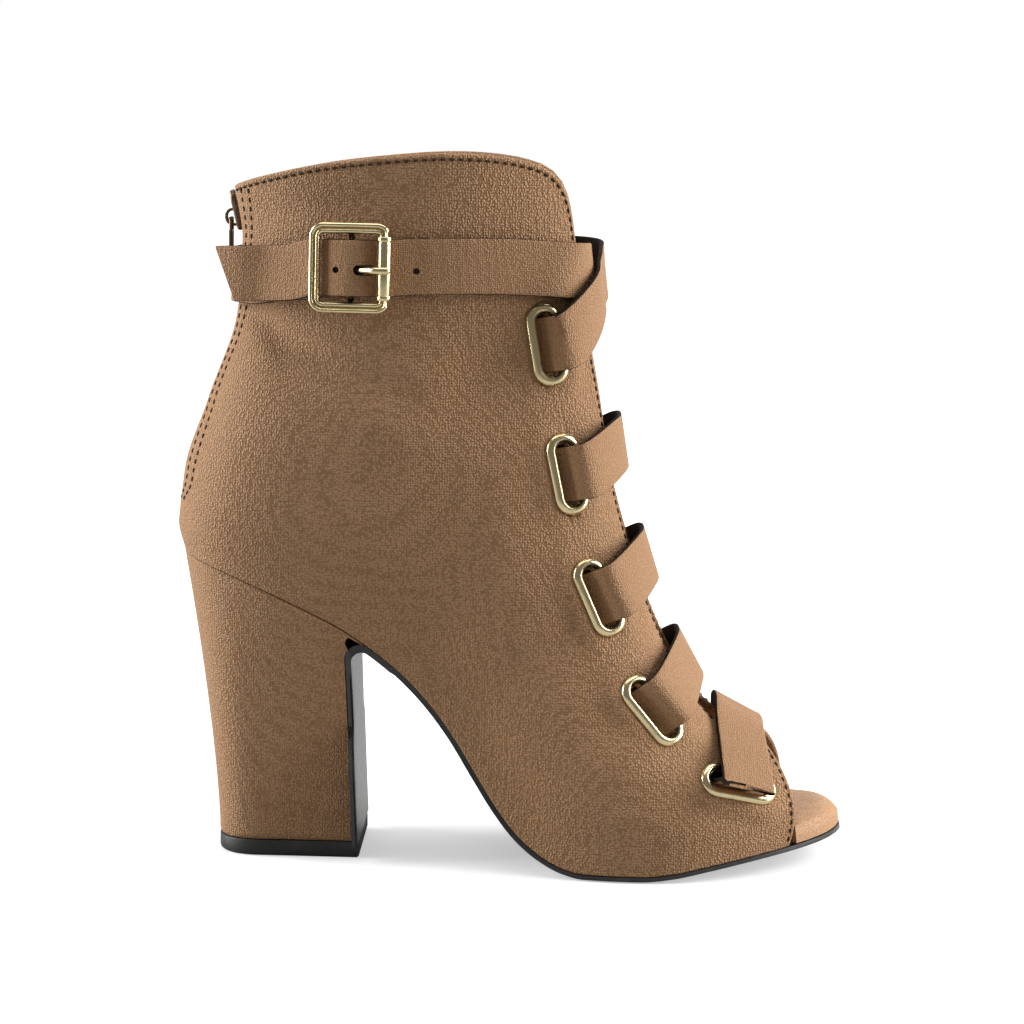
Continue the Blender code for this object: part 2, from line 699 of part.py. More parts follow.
def beside(k):
    """Length along the throat edge to where pair k of eyelets stands beside it."""
    centre = EYELET_FRAMES[-1, k][0]
    return THROAT_AT[np.argmin(np.hypot(THROAT[:, 0] - centre[0], THROAT[:, 1] - centre[2]))]


def over_throat(s, y, reach):
    """Place in front of the throat edge."""
    edge, out = throat(s)
    return edge + (0.0, y, 0.0) + out * reach


def strand_start(side, k, s, reach, swell=4.6):
    """Rows of a strap that leaves an eyelet and arches over its own throat edge."""
    centre, long, cross, out = EYELET_FRAMES[side, k]
    toward = cross if cross[0] > 0 else -cross
    lean = unit((0.0, -side * 0.62, 0.78))
    across = unit(np.cross(throat(s)[1], lean)) * side
    across = across if np.dot(across, long) > 0 else -across
    return [
        (centre - out * 0.6 + toward * 0.8, long),
        (centre + out * EYELET_HEIGHT + toward * 1.0, long),
        (centre + out * (EYELET_HEIGHT + 0.75 * swell) + toward * 2.4, long),
        (centre + out * (EYELET_HEIGHT + swell) + toward * 5.5, long),
        (over_throat(s, side * 11.0, reach), unit(long + across)),
    ], across


def crossing(name, k, mat):
    """Arch of the lace over the throat, from the outer eyelet of pair k to the inner one."""
    at = beside(k) + LACE_RISE
    out = throat(at)[1]
    up = np.array((-out[2], 0.0, out[0]))
    swell = 6.2 if k == len(EYELETS) - 1 else 4.6
    near, far = [strand_start(side, k, at, LACE_REACH, swell)[0][:-1] for side in (-1, 1)]
    middle = [(over_throat(at, y, LACE_REACH + lift), up)
              for y, lift in ((-12.0, 0.5), (-5.0, 1.5), (5.0, 1.5), (12.0, 0.5))]
    return ribbon(name, smooth_path(near + middle + far[::-1], 2), mat)


def belt(side, u, z, lift, wide=STRAP_WIDE):
    """Centre and direction across of a strap lying flat on the upper, lift clear of it."""
    v = np.linspace(0.25, 1.0, 46)
    line = skin(side, [u], v)[0]
    ends = [np.array([np.interp(q, line[:, 2], line[:, i]) for i in range(3)])
            for q in (z - 0.5 * wide, z, z + 0.5 * wide)]
    vm = np.interp(z, line[:, 2], v)
    out = skin_normal(side, u, vm)[0, 0]
    across = unit(ends[2] - ends[0])
    out = unit(out - across * np.dot(out, across))
    centre = 0.5 * (ends[0] + ends[2])
    centre = centre + out * (max(0.0, np.dot(ends[1] - centre, out)) + lift + 0.5 * STRAP_THICK)
    return centre, across, out


def side_u(side, x, z):
    return find(side, x, z)[0]


BUCKLE_X = 20.9


def strap_z(x):
    """Height of the ankle strap's middle along the shaft."""
    return float(np.interp(x, (-16.0, 0.0, 20.0, 35.0, 50.0, 67.0, 78.0, 88.0),
                           (181.6, 183.2, 185.2, 185.9, 186.4, 186.4, 185.8, 184.6)))


def buckle_place():
    """Foot of the buckle on the upper, and its directions along the strap, up and out."""
    foot, _, out = belt(-1, side_u(-1, BUCKLE_X, 185.4), 185.4, -0.5 * STRAP_THICK)
    up = unit(np.array((0.0, 0.0, 1.0)) - out * out[2])
    along = unit(np.cross(out, up))
    return foot, along * np.sign(along[0]), up, out


def strap_rows_b():
    """Inner strap: outer top eyelet, over the front, round the inner side and the back."""
    rows, across = strand_start(-1, 0, beside(0) + 12.0, 5.3)
    rows.append((over_throat(beside(0) + 16.5, 0.0, 6.1), across))
    rows.append((over_throat(beside(0) + 20.0, 11.0, 7.8), (-0.1, 0.1, 1.0)))
    for x, lift in ((85.0, 8.2), (76.0, 5.6), (64.0, 1.6), (44.0, 0.4), (24.0, 0.4), (8.0, 0.4),
                    (-3.0, 0.4)):
        centre, across, _ = belt(1, side_u(1, x, strap_z(x)), strap_z(x), lift)
        rows.append((centre, across))
    wrap = (0.135, 0.11, 0.088, 0.066, 0.046, 0.03, 0.015)
    for side, u in [(1, u) for u in wrap] + [(-1, 0.0)] + [(-1, u) for u in wrap[::-1]]:
        centre, across, _ = belt(side, u, strap_z(-15.0), 0.6)
        rows.append((centre, across))
    for x, lift in ((-3.0, 0.4), (3.0, 0.4), (7.6, 0.6)):
        centre, across, _ = belt(-1, side_u(-1, x, strap_z(x)), strap_z(x), lift)
        rows.append((centre, across))
    base, along, up, out = BUCKLE
    for p, h in ((-8.6, 2.0), (-4.6, 4.6), (-1.6, 5.6), (0.6, 5.55), (2.0, 4.6), (2.4, 3.3),
                 (1.7, 1.9), (0.0, 1.25), (-2.6, 1.2), (-4.6, 1.2)):
        rows.append((base + along * p + out * h, up))
    return rows


def strap_rows_a():
    """Outer strap: inner top eyelet, over the front, through the buckle to its free tail."""
    rows, across = strand_start(1, 0, beside(0) + 10.5, 3.5, 2.6)
    rows.append((over_throat(beside(0) + 18.0, 0.0, 3.6), across))
    rows.append((over_throat(beside(0) + 21.0, -10.0, 3.4), (-0.1, -0.1, 1.0)))
    for x, lift in ((85.0, 2.6), (76.0, 0.9), (66.0, 0.6), (54.0, 0.6), (44.0, 0.6), (37.0, 0.6)):
        centre, across, _ = belt(-1, side_u(-1, x, strap_z(x)), strap_z(x), lift)
        rows.append((centre, across))
    base, along, up, out = BUCKLE
    for p, h in ((10.2, 1.6), (7.4, 4.0), (4.0, 6.7), (0.0, 7.7), (-4.0, 6.9), (-7.4, 5.0),
                 (-9.4, 3.95), (-12.4, 3.2)):
        rows.append((base + along * p + out * h, up))
    for x, lift in ((3.0, 2.5), (-5.0, 2.9)):
        centre, across, _ = belt(-1, side_u(-1, x, strap_z(x)), strap_z(x), lift)
        rows.append((centre, across))
    last = rows[-1][0]
    for dx, dy, dz in ((-7.5, 1.7, -0.3), (-13.5, 4.0, -0.6), (-18.8, 7.0, -1.0)):
        rows.append((last + (dx, dy, dz), (0.05, 0.0, 1.0)))
    return rows


def place(frame, p, q, h):
    base, along, up, out = frame
    return base + along * p + up * q + out * h


def strap_cut(strap, p, long, wide):
    """A long hole through a strap at the buckle."""
    ring = lambda h: [place(BUCKLE, p + a, b - 0.6, h) for a, b in stadium(long, wide, 5)]
    combine(strap, stacked("cutter", [ring(-3.0), ring(14.0)], None), "DIFFERENCE")


def rod(name, points, radius, mat, around=8):
    """A round bar through points, with flat ends."""
    points = np.asarray(points, float)
    along = unit(np.gradient(points, axis=0))
    a = np.cross(along[0], (0.31, 0.2, 0.93))
    rings = []
    for p, t in zip(points, along):
        a = unit(a - t * np.dot(a, t))
        b = np.cross(t, a)
        rings.append([p + radius * (a * np.cos(w) + b * np.sin(w))
                      for w in np.linspace(0, 2 * np.pi, around, endpoint=False)])
    return stacked(name, rings, mat)


BUCKLE_LONG = 25.2            # along the strap
BUCKLE_HIGH = 27.2            # across the strap
BUCKLE_BAR = 3.3              # width of the frame's bars
BUCKLE_DEEP = 2.8
BUCKLE_LEVEL = 6.3            # middle of the frame above the upper
BAR_LEVEL = 3.4               # middle of the centre bar
ROLLER_D = 4.4
PRONG_D = 2.0


def buckle_frame(mat):
    """Square frame with a centre bar dropped behind it."""
    half_l, half_h = 0.5 * BUCKLE_LONG, 0.5 * BUCKLE_HIGH
    r = 4.4
    outer, normals = [], []
    for cx, cy, start in ((half_l - r, half_h - r, 0.0), (r - half_l, half_h - r, 0.5),
                          (r - half_l, r - half_h, 1.0), (half_l - r, r - half_h, 1.5)):
        for t in np.linspace(start * np.pi, (start + 0.5) * np.pi, 4):
            outer.append((cx + r * np.cos(t), cy + r * np.sin(t)))
            normals.append((np.cos(t), np.sin(t)))
    rings = []
    for (x, y), (nx, ny) in zip(outer, normals):
        right = x > half_l - 0.2
        wide = 2.4 if right else BUCKLE_BAR
        inset = 1.0 if right else 0.0
        ring = []
        for s, h in ((0.0, -0.28), (0.0, 0.28), (0.25, 0.5), (0.75, 0.5), (1.0, 0.28), (1.0, -0.28),
                     (0.75, -0.5), (0.25, -0.5)):
            d = inset + wide * s
            ring.append(place(BUCKLE, x - nx * d, y - ny * d, BUCKLE_LEVEL + h * BUCKLE_DEEP))
        rings.append(ring)
    frame = looped("buckle_frame", rings, mat)
    edge = half_h - 0.5 * BUCKLE_BAR
    line = [place(BUCKLE, 0.0, q, h) for q, h in (
        (-edge, BUCKLE_LEVEL), (1.3 - edge, BUCKLE_LEVEL - 0.9), (2.4 - edge, BAR_LEVEL + 0.5),
        (3.4 - edge, BAR_LEVEL), (edge - 3.4, BAR_LEVEL), (edge - 2.4, BAR_LEVEL + 0.5),
        (edge - 1.3, BUCKLE_LEVEL - 0.9), (edge, BUCKLE_LEVEL))]
    combine(frame, rod("cutter", line, 1.1, mat), "UNION")
    return frame


def buckle_roller(mat):
    x = 0.5 * BUCKLE_LONG - 1.0 - 1.2
    rings = []
    for q in np.linspace(0.5 * 19.2, -0.5 * 19.2, 2):
        rings.append([place(BUCKLE, x + 0.5 * ROLLER_D * np.cos(t), q, BUCKLE_LEVEL + 0.5 * ROLLER_D * np.sin(t))
                      for t in np.linspace(0, 2 * np.pi, 14, endpoint=False)])
    outer = stacked("buckle_roller", rings, mat)
    bore = []
    for q in (12.0, -12.0):
        bore.append([place(BUCKLE, x + 1.78 * np.cos(t), q, BUCKLE_LEVEL + 1.78 * np.sin(t))
                     for t in np.linspace(0, 2 * np.pi, 14, endpoint=False)])
    combine(outer, stacked("cutter", bore, None), "DIFFERENCE")
    return outer


def buckle_prong(mat):
    """Tongue of the buckle: an open eye on the centre bar and a pin out to the roller."""
    line = []
    for t in np.linspace(-250.0, 70.0, 11):
        a = np.radians(t)
        line.append(place(BUCKLE, 2.25 * np.cos(a), -0.6, BAR_LEVEL + 2.25 * np.sin(a)))
    reach = 0.5 * BUCKLE_LONG - 1.4
    top = BUCKLE_LEVEL + 0.5 * ROLLER_D + 0.3 + 0.5 * PRONG_D
    for p, h in ((2.4, 6.2), (5.0, 7.5), (8.0, top - 0.1), (reach, top), (reach + 1.6, top - 0.2)):
        line.append(place(BUCKLE, p, -0.6, h))
    return rod("buckle_prong", line, 0.5 * PRONG_D - 0.15, mat)


# Zip

def back_line(z, depth):
    """Places along the back seam at heights z, depth under the outer face."""
    v = np.linspace(0.02, 1.0, 80)
    line = skin(-1, [0.0], v)[0]
    out = skin_normal(-1, 0.0, v)[0]
    vz = np.interp(z, line[:, 2], v)
    place_ = np.stack([np.interp(vz, v, line[:, i]) for i in range(3)], -1)
    face = unit(np.stack([np.interp(vz, v, out[:, i]) for i in range(3)], -1))
    place_[:, 1], face[:, 1] = 0.0, 0.0
    return place_ - face * depth, unit(face)


ZIP_TOP = 207.6


def zip_tape(mat):
    """Cloth behind the teeth, following the inside of the back."""
    z = np.linspace(ZIP_END - 5.0, ZIP_TOP, 14)
    v = np.linspace(0.02, 1.0, 60)
    grids = []
    for depth in (WALL + TAPE_DEEP, WALL + TAPE_DEEP + TAPE_THICK):
        columns = []
        for y in np.linspace(-0.5, 0.5, 7) * TAPE_WIDE:
            side = -1 if y < 0 else 1
            us = np.linspace(0.0, 0.16, 17)
            sheet = skin(side, us, v)
            column = []
            for height in z:
                row = np.array([[np.interp(height, line[:, 2], line[:, i]) for i in range(3)]
                                for line in sheet])
                u = np.interp(abs(y), np.abs(row[:, 1]), us)
                p = np.array([np.interp(u, us, row[:, i]) for i in range(3)])
                vz = np.interp(height, sheet[0][:, 2], v)
                n = skin_normal(side, max(u, 1e-4), vz)[0, 0]
                column.append(p - n * depth)
            columns.append(column)
        grids.append(np.array(columns).transpose(1, 0, 2))
    return between("zip_tape", grids[0], grids[1], mat)


def zip_teeth(mat):
    z = np.linspace(ZIP_END + 0.6, ZIP_TOP, 14)
    grids = []
    for depth in (0.15, 0.15 + TEETH_THICK):
        p, _ = back_line(z, depth)
        grids.append(np.stack([p + (0.0, w * 0.5 * TEETH_WIDE, 0.0) for w in (-1, 1)], 1))
    return between("zip_teeth", grids[0], grids[1], mat)


def zip_frame():
    p, out = back_line(np.array([201.6]), 0.0)
    out = out[0]
    return p[0], np.array((0.0, 1.0, 0.0)), np.array((-out[2], 0.0, out[0])) * -1.0, out


SLIDER_HIGH = 12.4
SLIDER_WIDE = 8.4
SLIDER_THICK = 1.4
PULL_LONG = 21.0
HINGE_UP = -2.2               # pull's bar along the slider
HINGE_OUT = 3.15              # and out from the back seam


def zip_slider(mat):
    """Slider body with the bridge that holds the pull."""
    half = 0.5 * SLIDER_HIGH
    low, high = 0.4, 0.4 + SLIDER_THICK
    plan = [(-2.6, half), (2.6, half), (0.5 * SLIDER_WIDE, half - 2.0), (0.5 * SLIDER_WIDE - 0.5, 0.0),
            (3.0, -half + 0.6), (2.4, -half), (-2.4, -half), (-3.0, -half + 0.6),
            (-0.5 * SLIDER_WIDE + 0.5, 0.0), (-0.5 * SLIDER_WIDE, half - 2.0)]
    ring = lambda h, k: [place(ZIP, a * k, b * (1 - (1 - k) * 0.6), h) for a, b in plan]
    body = stacked("zip_slider", [ring(low, 1.0), ring(high - 0.4, 1.0), ring(high, 0.88)], mat)
    path = ((0.4, high - 0.5), (0.3, high + 1.5), (-0.8, high + 2.6), (-2.8, high + 2.7),
            (-4.0, high + 1.8), (-4.6, high - 0.5))
    rings = []
    for k, (b, h) in enumerate(path):
        before, after = path[max(k - 1, 0)], path[min(k + 1, len(path) - 1)]
        t = unit((after[0] - before[0], after[1] - before[1]))
        n = np.array((-t[1], t[0])) * 0.45
        rings.append([place(ZIP, y, b + s * n[0], h + s * n[1])
                      for y, s in ((-1.0, -1), (1.0, -1), (1.0, 1), (-1.0, 1))])
    combine(body, stacked("cutter", rings, mat), "UNION")
    return body


def zip_pull(mat):
    """Pull tab hanging straight down from a bar under the bridge."""
    pin = place(ZIP, 0.0, HINGE_UP, HINGE_OUT)
    turn = np.linspace(0, 2 * np.pi, 8, endpoint=False)
    rings = [[pin + (0.55 * np.cos(t), y, 0.55 * np.sin(t)) for t in turn] for y in (-2.7, 2.7)]
    pull = stacked("zip_pull", rings, mat)
    for side in (-1, 1):
        arm = box("cutter", (1.0, 1.1, 4.6), pin + (0.0, side * 2.15, -2.3), mat)
        combine(pull, arm, "UNION")
    rings = []
    for x in (-0.5, 0.5):
        rings.append([pin + (x, a, -3.6 - b) for a, b in (
            (-2.7, 0.0), (2.7, 0.0), (2.2, PULL_LONG - 6.0), (1.6, PULL_LONG - 3.6),
            (-1.6, PULL_LONG - 3.6), (-2.2, PULL_LONG - 6.0))])
    combine(pull, stacked("cutter", rings, mat), "UNION")
    return pull


LEATHER = (0.23, 0.135, 0.075)
GOLD = (0.78, 0.66, 0.40)
BLACK = (0.012, 0.011, 0.011)

for ob in list(bpy.data.objects):
    bpy.data.objects.remove(ob)

EYELET_FRAMES = {(side, k): eyelet_frame(side, k)
                 for side in (-1, 1) for k in range(len(EYELETS))}

BUCKLE = buckle_place()
ZIP = zip_frame()

upper(material("upper_leather", LEATHER, 0.62))
insole(material("insole_leather", LEATHER, 0.6))
outsole(material("outsole_rubber", BLACK, 0.35))
heel(material("heel_cover", LEATHER, 0.6))
top_piece(material("top_piece_rubber", BLACK, 0.55))
for (side, k), frame in EYELET_FRAMES.items():
    label = f"eyelet_{'outer' if side < 0 else 'inner'}_{k + 1}"
    eyelet(label, frame, material(f"{label}_brass", GOLD, 0.25, 1.0))

for k in (4, 3, 2, 1):
    label = f"lace_crossing_{k}"
    crossing(label, k, material(f"{label}_leather", LEATHER, 0.55))
strap_b = ribbon("ankle_strap_inner", smooth_path(strap_rows_b(), 2),
                 material("ankle_strap_inner_leather", LEATHER, 0.55), thick=1.4)
strap_cut(strap_b, 0.4, 8.6, 3.6)
strap_a = ribbon("ankle_strap_outer", smooth_path(strap_rows_a(), 2),
                 material("ankle_strap_outer_leather", LEATHER, 0.55))
strap_cut(strap_a, 4.6, 6.6, 3.2)
(x1, z1), (x2, z2) = TAIL_CUT
ends = ((x1, z1 + 4.0), (x1, z1), (x2, z2), (x2, z2 - 4.0), (x1 - 30.0, z2 - 4.0), (x1 - 30.0, z1 + 4.0))
combine(strap_a, stacked("cutter", [[(x, y, z) for x, z in ends] for y in (-45.0, 0.0)], None), "DIFFERENCE")
strap_cut(strap_a, -4.2, 2.0, 1.98)
strap_cut(strap_a, 19.2, 2.0, 1.98)
buckle_frame(material("buckle_frame_brass", GOLD, 0.25, 1.0))
buckle_roller(material("buckle_roller_brass", GOLD, 0.25, 1.0))
buckle_prong(material("buckle_prong_brass", GOLD, 0.25, 1.0))
zip_tape(material("zip_tape_cloth", (0.05, 0.03, 0.02), 0.85))
zip_teeth(material("zip_teeth_brass", (0.12, 0.08, 0.05), 0.4, 1.0))
zip_slider(material("zip_slider_brass", (0.16, 0.11, 0.07), 0.35, 1.0))
zip_pull(material("zip_pull_brass", (0.16, 0.11, 0.07), 0.35, 1.0))
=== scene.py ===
import math
import bmesh
import bpy
import numpy as np
from mathutils import Matrix, Vector


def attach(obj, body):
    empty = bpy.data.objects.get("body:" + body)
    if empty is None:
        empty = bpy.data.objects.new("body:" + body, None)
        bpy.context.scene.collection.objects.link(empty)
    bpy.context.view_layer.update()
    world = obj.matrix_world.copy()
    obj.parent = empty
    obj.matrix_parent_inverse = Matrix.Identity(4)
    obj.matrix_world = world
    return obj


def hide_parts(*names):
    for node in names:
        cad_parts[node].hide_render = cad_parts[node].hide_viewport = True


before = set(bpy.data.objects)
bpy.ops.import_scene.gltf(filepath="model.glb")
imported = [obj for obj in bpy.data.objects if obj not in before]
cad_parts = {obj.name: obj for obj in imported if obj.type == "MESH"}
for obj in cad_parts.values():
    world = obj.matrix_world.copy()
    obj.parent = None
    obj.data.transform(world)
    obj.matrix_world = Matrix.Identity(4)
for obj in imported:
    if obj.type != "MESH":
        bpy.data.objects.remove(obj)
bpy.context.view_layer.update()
scene = bpy.context.scene
mm = 0.001

# Camera: where the boot is seen from, in millimetres of the boot's own frame
camera = {
    "place": (85.2, -899.9, 232.0),
    "aim": (69.5, 0.0, 108.0),
    "lens": 101.25,          # on a 36 mm sensor
    "roll": 1.0,             # degrees
}

# The last: the sizes that every piece of the boot follows, in millimetres
last = {
    "fit": 0.3,
    "wall": 1.8,
    "toeEdge": 158.0,
    "throatFrom": 86.5,
    "soleLine": (            # x, z of the sole's upper face
        (-40.0, 96.4), (-33.5, 94.6), (-20.3, 90.9), (-7.2, 86.0), (5.2, 80.5), (17.6, 74.2),
        (26.9, 67.9), (36.2, 60.4), (45.0, 51.4), (53.0, 41.0), (60.0, 29.9), (67.0, 19.4),
        (74.0, 11.2), (81.0, 6.0), (88.0, 2.9), (94.0, 1.8), (112.0, 1.8), (121.0, 2.6),
        (132.0, 4.5), (145.0, 6.6), (160.0, 8.5), (180.0, 10.4)),
    "outlineBack": (-33.5, 0.0),
    "outline": (             # x, outer and inner half width
        (-31.2, 11.0, 11.0), (-23.0, 21.2, 21.0), (-9.0, 26.4, 26.0), (8.0, 27.6, 26.6),
        (25.0, 26.6, 24.6), (41.0, 26.2, 22.6), (57.0, 28.6, 23.2), (73.0, 34.2, 28.0),
        (89.0, 40.2, 34.4), (105.0, 43.0, 38.2), (121.0, 42.2, 39.2), (137.0, 37.6, 37.8),
        (151.0, 30.6, 33.6), (163.0, 21.6, 26.8), (172.0, 10.4, 17.2)),
    "outlineTip": (176.2, 4.0),
    "rim": (                 # x, z, half gap of the upper's edge, collar back to toe corner
        (-18.5, 209.0, 0.0), (-17.7, 209.5, 6.0), (-13.6, 210.8, 12.6), (-2.5, 213.7, 20.0),
        (10.2, 216.4, 24.8), (28.0, 218.7, 27.8), (46.5, 220.2, 27.8), (60.0, 220.0, 25.2),
        (72.0, 218.4, 21.0), (79.6, 215.6, 17.6), (83.8, 211.0, 15.2), (86.0, 204.5, 13.8),
        (88.0, 192.0, 12.8), (92.8, 163.8, 12.2), (96.3, 145.9, 12.0), (100.6, 121.1, 11.8),
        (105.0, 104.8, 11.6), (112.0, 83.5, 11.4), (120.6, 64.5, 11.4), (131.0, 48.6, 11.6),
        (141.0, 41.6, 11.8), (150.6, 38.4, 12.0)),
    "ribHeights": (0.0, 0.08, 0.22, 0.42, 0.65, 0.85, 1.0),
    "ribs": (                # share of sole, of rim, then how far the leather stands out, lean
        (0.00, 0.000, 3.4, 3.6, -1.0, -6.3, -5.2, 0.0),
        (0.07, 0.060, 2.9, 3.6, 0.6, -4.2, -3.6, 0.0),
        (0.20, 0.170, 1.8, 3.6, 3.4, -0.6, -0.8, 0.0),
        (0.34, 0.310, 1.8, 5.2, 6.6, 2.2, 0.2, 0.0),
        (0.46, 0.470, 1.8, 6.8, 10.4, 8.0, 4.6, 0.0),
        (0.60, 0.640, 1.8, 6.6, 10.2, 9.2, 5.0, 0.0),
        (0.72, 0.770, 2.2, 7.0, 10.4, 9.6, 5.4, 0.0),
        (0.84, 0.885, 3.0, 7.2, 9.2, 8.0, 4.6, 0.0),
        (0.93, 0.950, 2.8, 6.2, 8.0, 7.0, 4.0, 0.6),
        (1.00, 1.000, 2.2, 5.2, 6.8, 5.8, 3.4, 1.2)),
    "creases": (             # x, z, half length, half width, turn in degrees, depth
        (18.0, 156.0, 24.0, 7.0, -28.0, 1.1),
        (4.0, 147.0, 18.0, 6.0, -40.0, 0.8),
        (12.0, 203.0, 20.0, 5.0, -8.0, 0.6),
        (72.0, 62.0, 20.0, 8.0, 52.0, 0.7)),
    "eyelets": (             # top x, z and bottom x, z of each opening
        (78.3, 170.9, 81.2, 154.5),
        (85.0, 131.2, 88.4, 115.5),
        (93.8, 92.7, 100.2, 78.6),
        (109.3, 57.4, 119.0, 45.8),
        (135.6, 30.3, 146.9, 27.6)),
}


def column(rows, k):
    return np.array([row[k] for row in rows], float)


def unit(v):
    v = np.asarray(v, float)
    return v / np.maximum(np.linalg.norm(v, axis=-1, keepdims=True), 1e-12)


def lengths(line):
    return np.concatenate(([0.0], np.cumsum(np.linalg.norm(np.diff(line, axis=0), axis=1))))


def shares(line, at):
    s = lengths(line)
    return np.stack([np.interp(at, s / s[-1], line[:, k]) for k in range(line.shape[1])], -1)


def through(at, knownAt, known):
    # smooth values that never swing past the ones given
    x, y = np.asarray(knownAt, float), np.asarray(known, float)
    h, d = np.diff(x), np.diff(y) / np.diff(x)
    slope = np.zeros_like(y)
    turns = d[:-1] * d[1:] > 0
    w1, w2 = 2 * h[1:] + h[:-1], h[1:] + 2 * h[:-1]
    slope[1:-1][turns] = ((w1 + w2)[turns]
                          / (w1[turns] / d[:-1][turns] + w2[turns] / d[1:][turns]))
    slope[0], slope[-1] = d[0], d[-1]
    at = np.clip(np.asarray(at, float), x[0], x[-1])
    i = np.clip(np.searchsorted(x, at, side="right") - 1, 0, len(h) - 1)
    t = (at - x[i]) / h[i]
    return ((1 + 2 * t) * (1 - t) ** 2 * y[i] + t * (1 - t) ** 2 * h[i] * slope[i]
            + t * t * (3 - 2 * t) * y[i + 1] + t * t * (t - 1) * h[i] * slope[i + 1])


def spline(points, steps):
    # a rounded line through points, as a dense polyline
    p = np.asarray(points, float)
    p = np.vstack((2 * p[0] - p[1], p, 2 * p[-1] - p[-2]))
    out = []
    for k in range(1, len(p) - 2):
        a, b, c, d = p[k - 1:k + 3]
        ta = 0.0
        tb = ta + np.linalg.norm(b - a) ** 0.5
        tc = tb + np.linalg.norm(c - b) ** 0.5
        td = tc + np.linalg.norm(d - c) ** 0.5
        for t in np.linspace(tb, tc, steps, endpoint=False):
            ab = a + (b - a) * (t - ta) / (tb - ta)
            bc = b + (c - b) * (t - tb) / (tc - tb)
            cd = c + (d - c) * (t - tc) / (td - tc)
            abc = ab + (bc - ab) * (t - ta) / (tc - ta)
            bcd = bc + (cd - bc) * (t - tb) / (td - tb)
            out.append(abc + (bcd - abc) * (t - tb) / (tc - tb))
    out.append(p[-2])
    return np.array(out)


def smoothStep(x):
    x = np.clip(x, 0, 1)
    return x * x * (3 - 2 * x)


# The last's surfaces

def soleZ(x):
    return through(x, column(last["soleLine"], 0), column(last["soleLine"], 1))


def planSide(side):
    rows = [last["outlineBack"]] + [(r[0], side * r[1 if side < 0 else 2]) for r in last["outline"]]
    first, end = last["outline"][0], last["outline"][-1]
    line = spline([(first[0], -side * first[1])] + rows
                  + [last["outlineTip"], (end[0], -side * end[2 if side < 0 else 1])], 12)
    return line[12:-12]


plan = {side: planSide(side) for side in (-1, 1)}


def planHalf(side, x, inset=0.0):
    line = plan[side]
    if inset:
        t = unit(np.gradient(line, axis=0))
        line = line + np.stack((t[:, 1], -t[:, 0]), -1) * side * inset
        line[0, 1], line[-1, 1] = 0.0, last["outlineTip"][1]
    rising = np.concatenate(([True], np.diff(np.maximum.accumulate(line[:, 0])) > 0))
    return np.interp(x, line[rising, 0], line[rising, 1])


def featherLine(side):
    line = plan[side][plan[side][:, 0] <= last["toeEdge"]]
    line = np.vstack((line, (last["toeEdge"], planHalf(side, last["toeEdge"]))))
    return np.column_stack((line, soleZ(line[:, 0]) + last["fit"]))


def rimLine(side):
    line = spline([(-17.7, -6.0, 209.5)] + [(r[0], r[2], r[1]) for r in last["rim"]], 10)[10:]
    line[:, 1] *= side
    return line


edges = {side: (featherLine(side), rimLine(side)) for side in (-1, 1)}
ribAt = np.linspace(0.0, 1.0, len(last["ribs"]))


def ribEnds(side, u):
    foot, top = edges[side]
    return (shares(foot, through(u, ribAt, column(last["ribs"], 0))),
            shares(top, through(u, ribAt, column(last["ribs"], 1))))


def ribBulge(u, v):
    zero = np.zeros_like(ribAt)
    sets = [zero] + [column(last["ribs"], k) for k in range(2, 7)] + [zero]
    values = np.stack([through(u, ribAt, known) for known in sets], -1)
    return np.array([through(v[i], last["ribHeights"], values[i]) for i in range(len(u))])


def foldDepth(folds, x, z):
    depth = np.zeros(x.shape)
    for cx, cz, long, wide, turn, deep in folds:
        c, s = math.cos(math.radians(turn)), math.sin(math.radians(turn))
        a = ((x - cx) * c + (z - cz) * s) / long
        b = (-(x - cx) * s + (z - cz) * c) / wide
        depth += deep * np.exp(-a * a - b * b)
    return depth


def skin(side, u, v, folds=()):
    # outer face of the upper: u heel to toe, v sole to rim, v with a row for each u
    u, v = np.atleast_1d(u).astype(float), np.asarray(v, float)
    if v.ndim < 2:
        v = np.broadcast_to(np.atleast_1d(v), (len(u), np.size(v)))
    foot, top = ribEnds(side, u)
    footA, topA = ribEnds(side, np.clip(u - 1e-3, 0, 1))
    footB, topB = ribEnds(side, np.clip(u + 1e-3, 0, 1))
    rib = unit(top - foot)[:, None, :]
    w = v[..., None]
    along = (1 - w) * (footB - footA)[:, None, :] + w * (topB - topA)[:, None, :]
    along = np.where((u < 1e-6)[:, None, None], (0.0, side * 1.0, 0.0), along)
    out = unit(np.cross(rib, along)) * side
    place = foot[:, None, :] + (top - foot)[:, None, :] * w + out * ribBulge(u, v)[..., None]
    place[..., 0] += 4 * v * (1 - v) * through(u, ribAt, column(last["ribs"], 7))[:, None]
    deep = foldDepth(tuple(last["creases"]) + tuple(folds), place[..., 0], place[..., 2])
    return place - out * (deep * np.minimum(1, 6 * v * (1 - v)))[..., None]


def skinNormal(side, u, v):
    u, v = np.atleast_1d(u).astype(float), np.atleast_1d(v).astype(float)
    e = 2e-3
    du = skin(side, np.clip(u + e, 0, 1), v) - skin(side, np.clip(u - e, 0, 1), v)
    dv = skin(side, u, np.clip(v + e, 0, 1)) - skin(side, u, np.clip(v - e, 0, 1))
    du[u < e] = (0.0, side * 1.0, 0.0)
    return unit(np.cross(dv, du)) * side


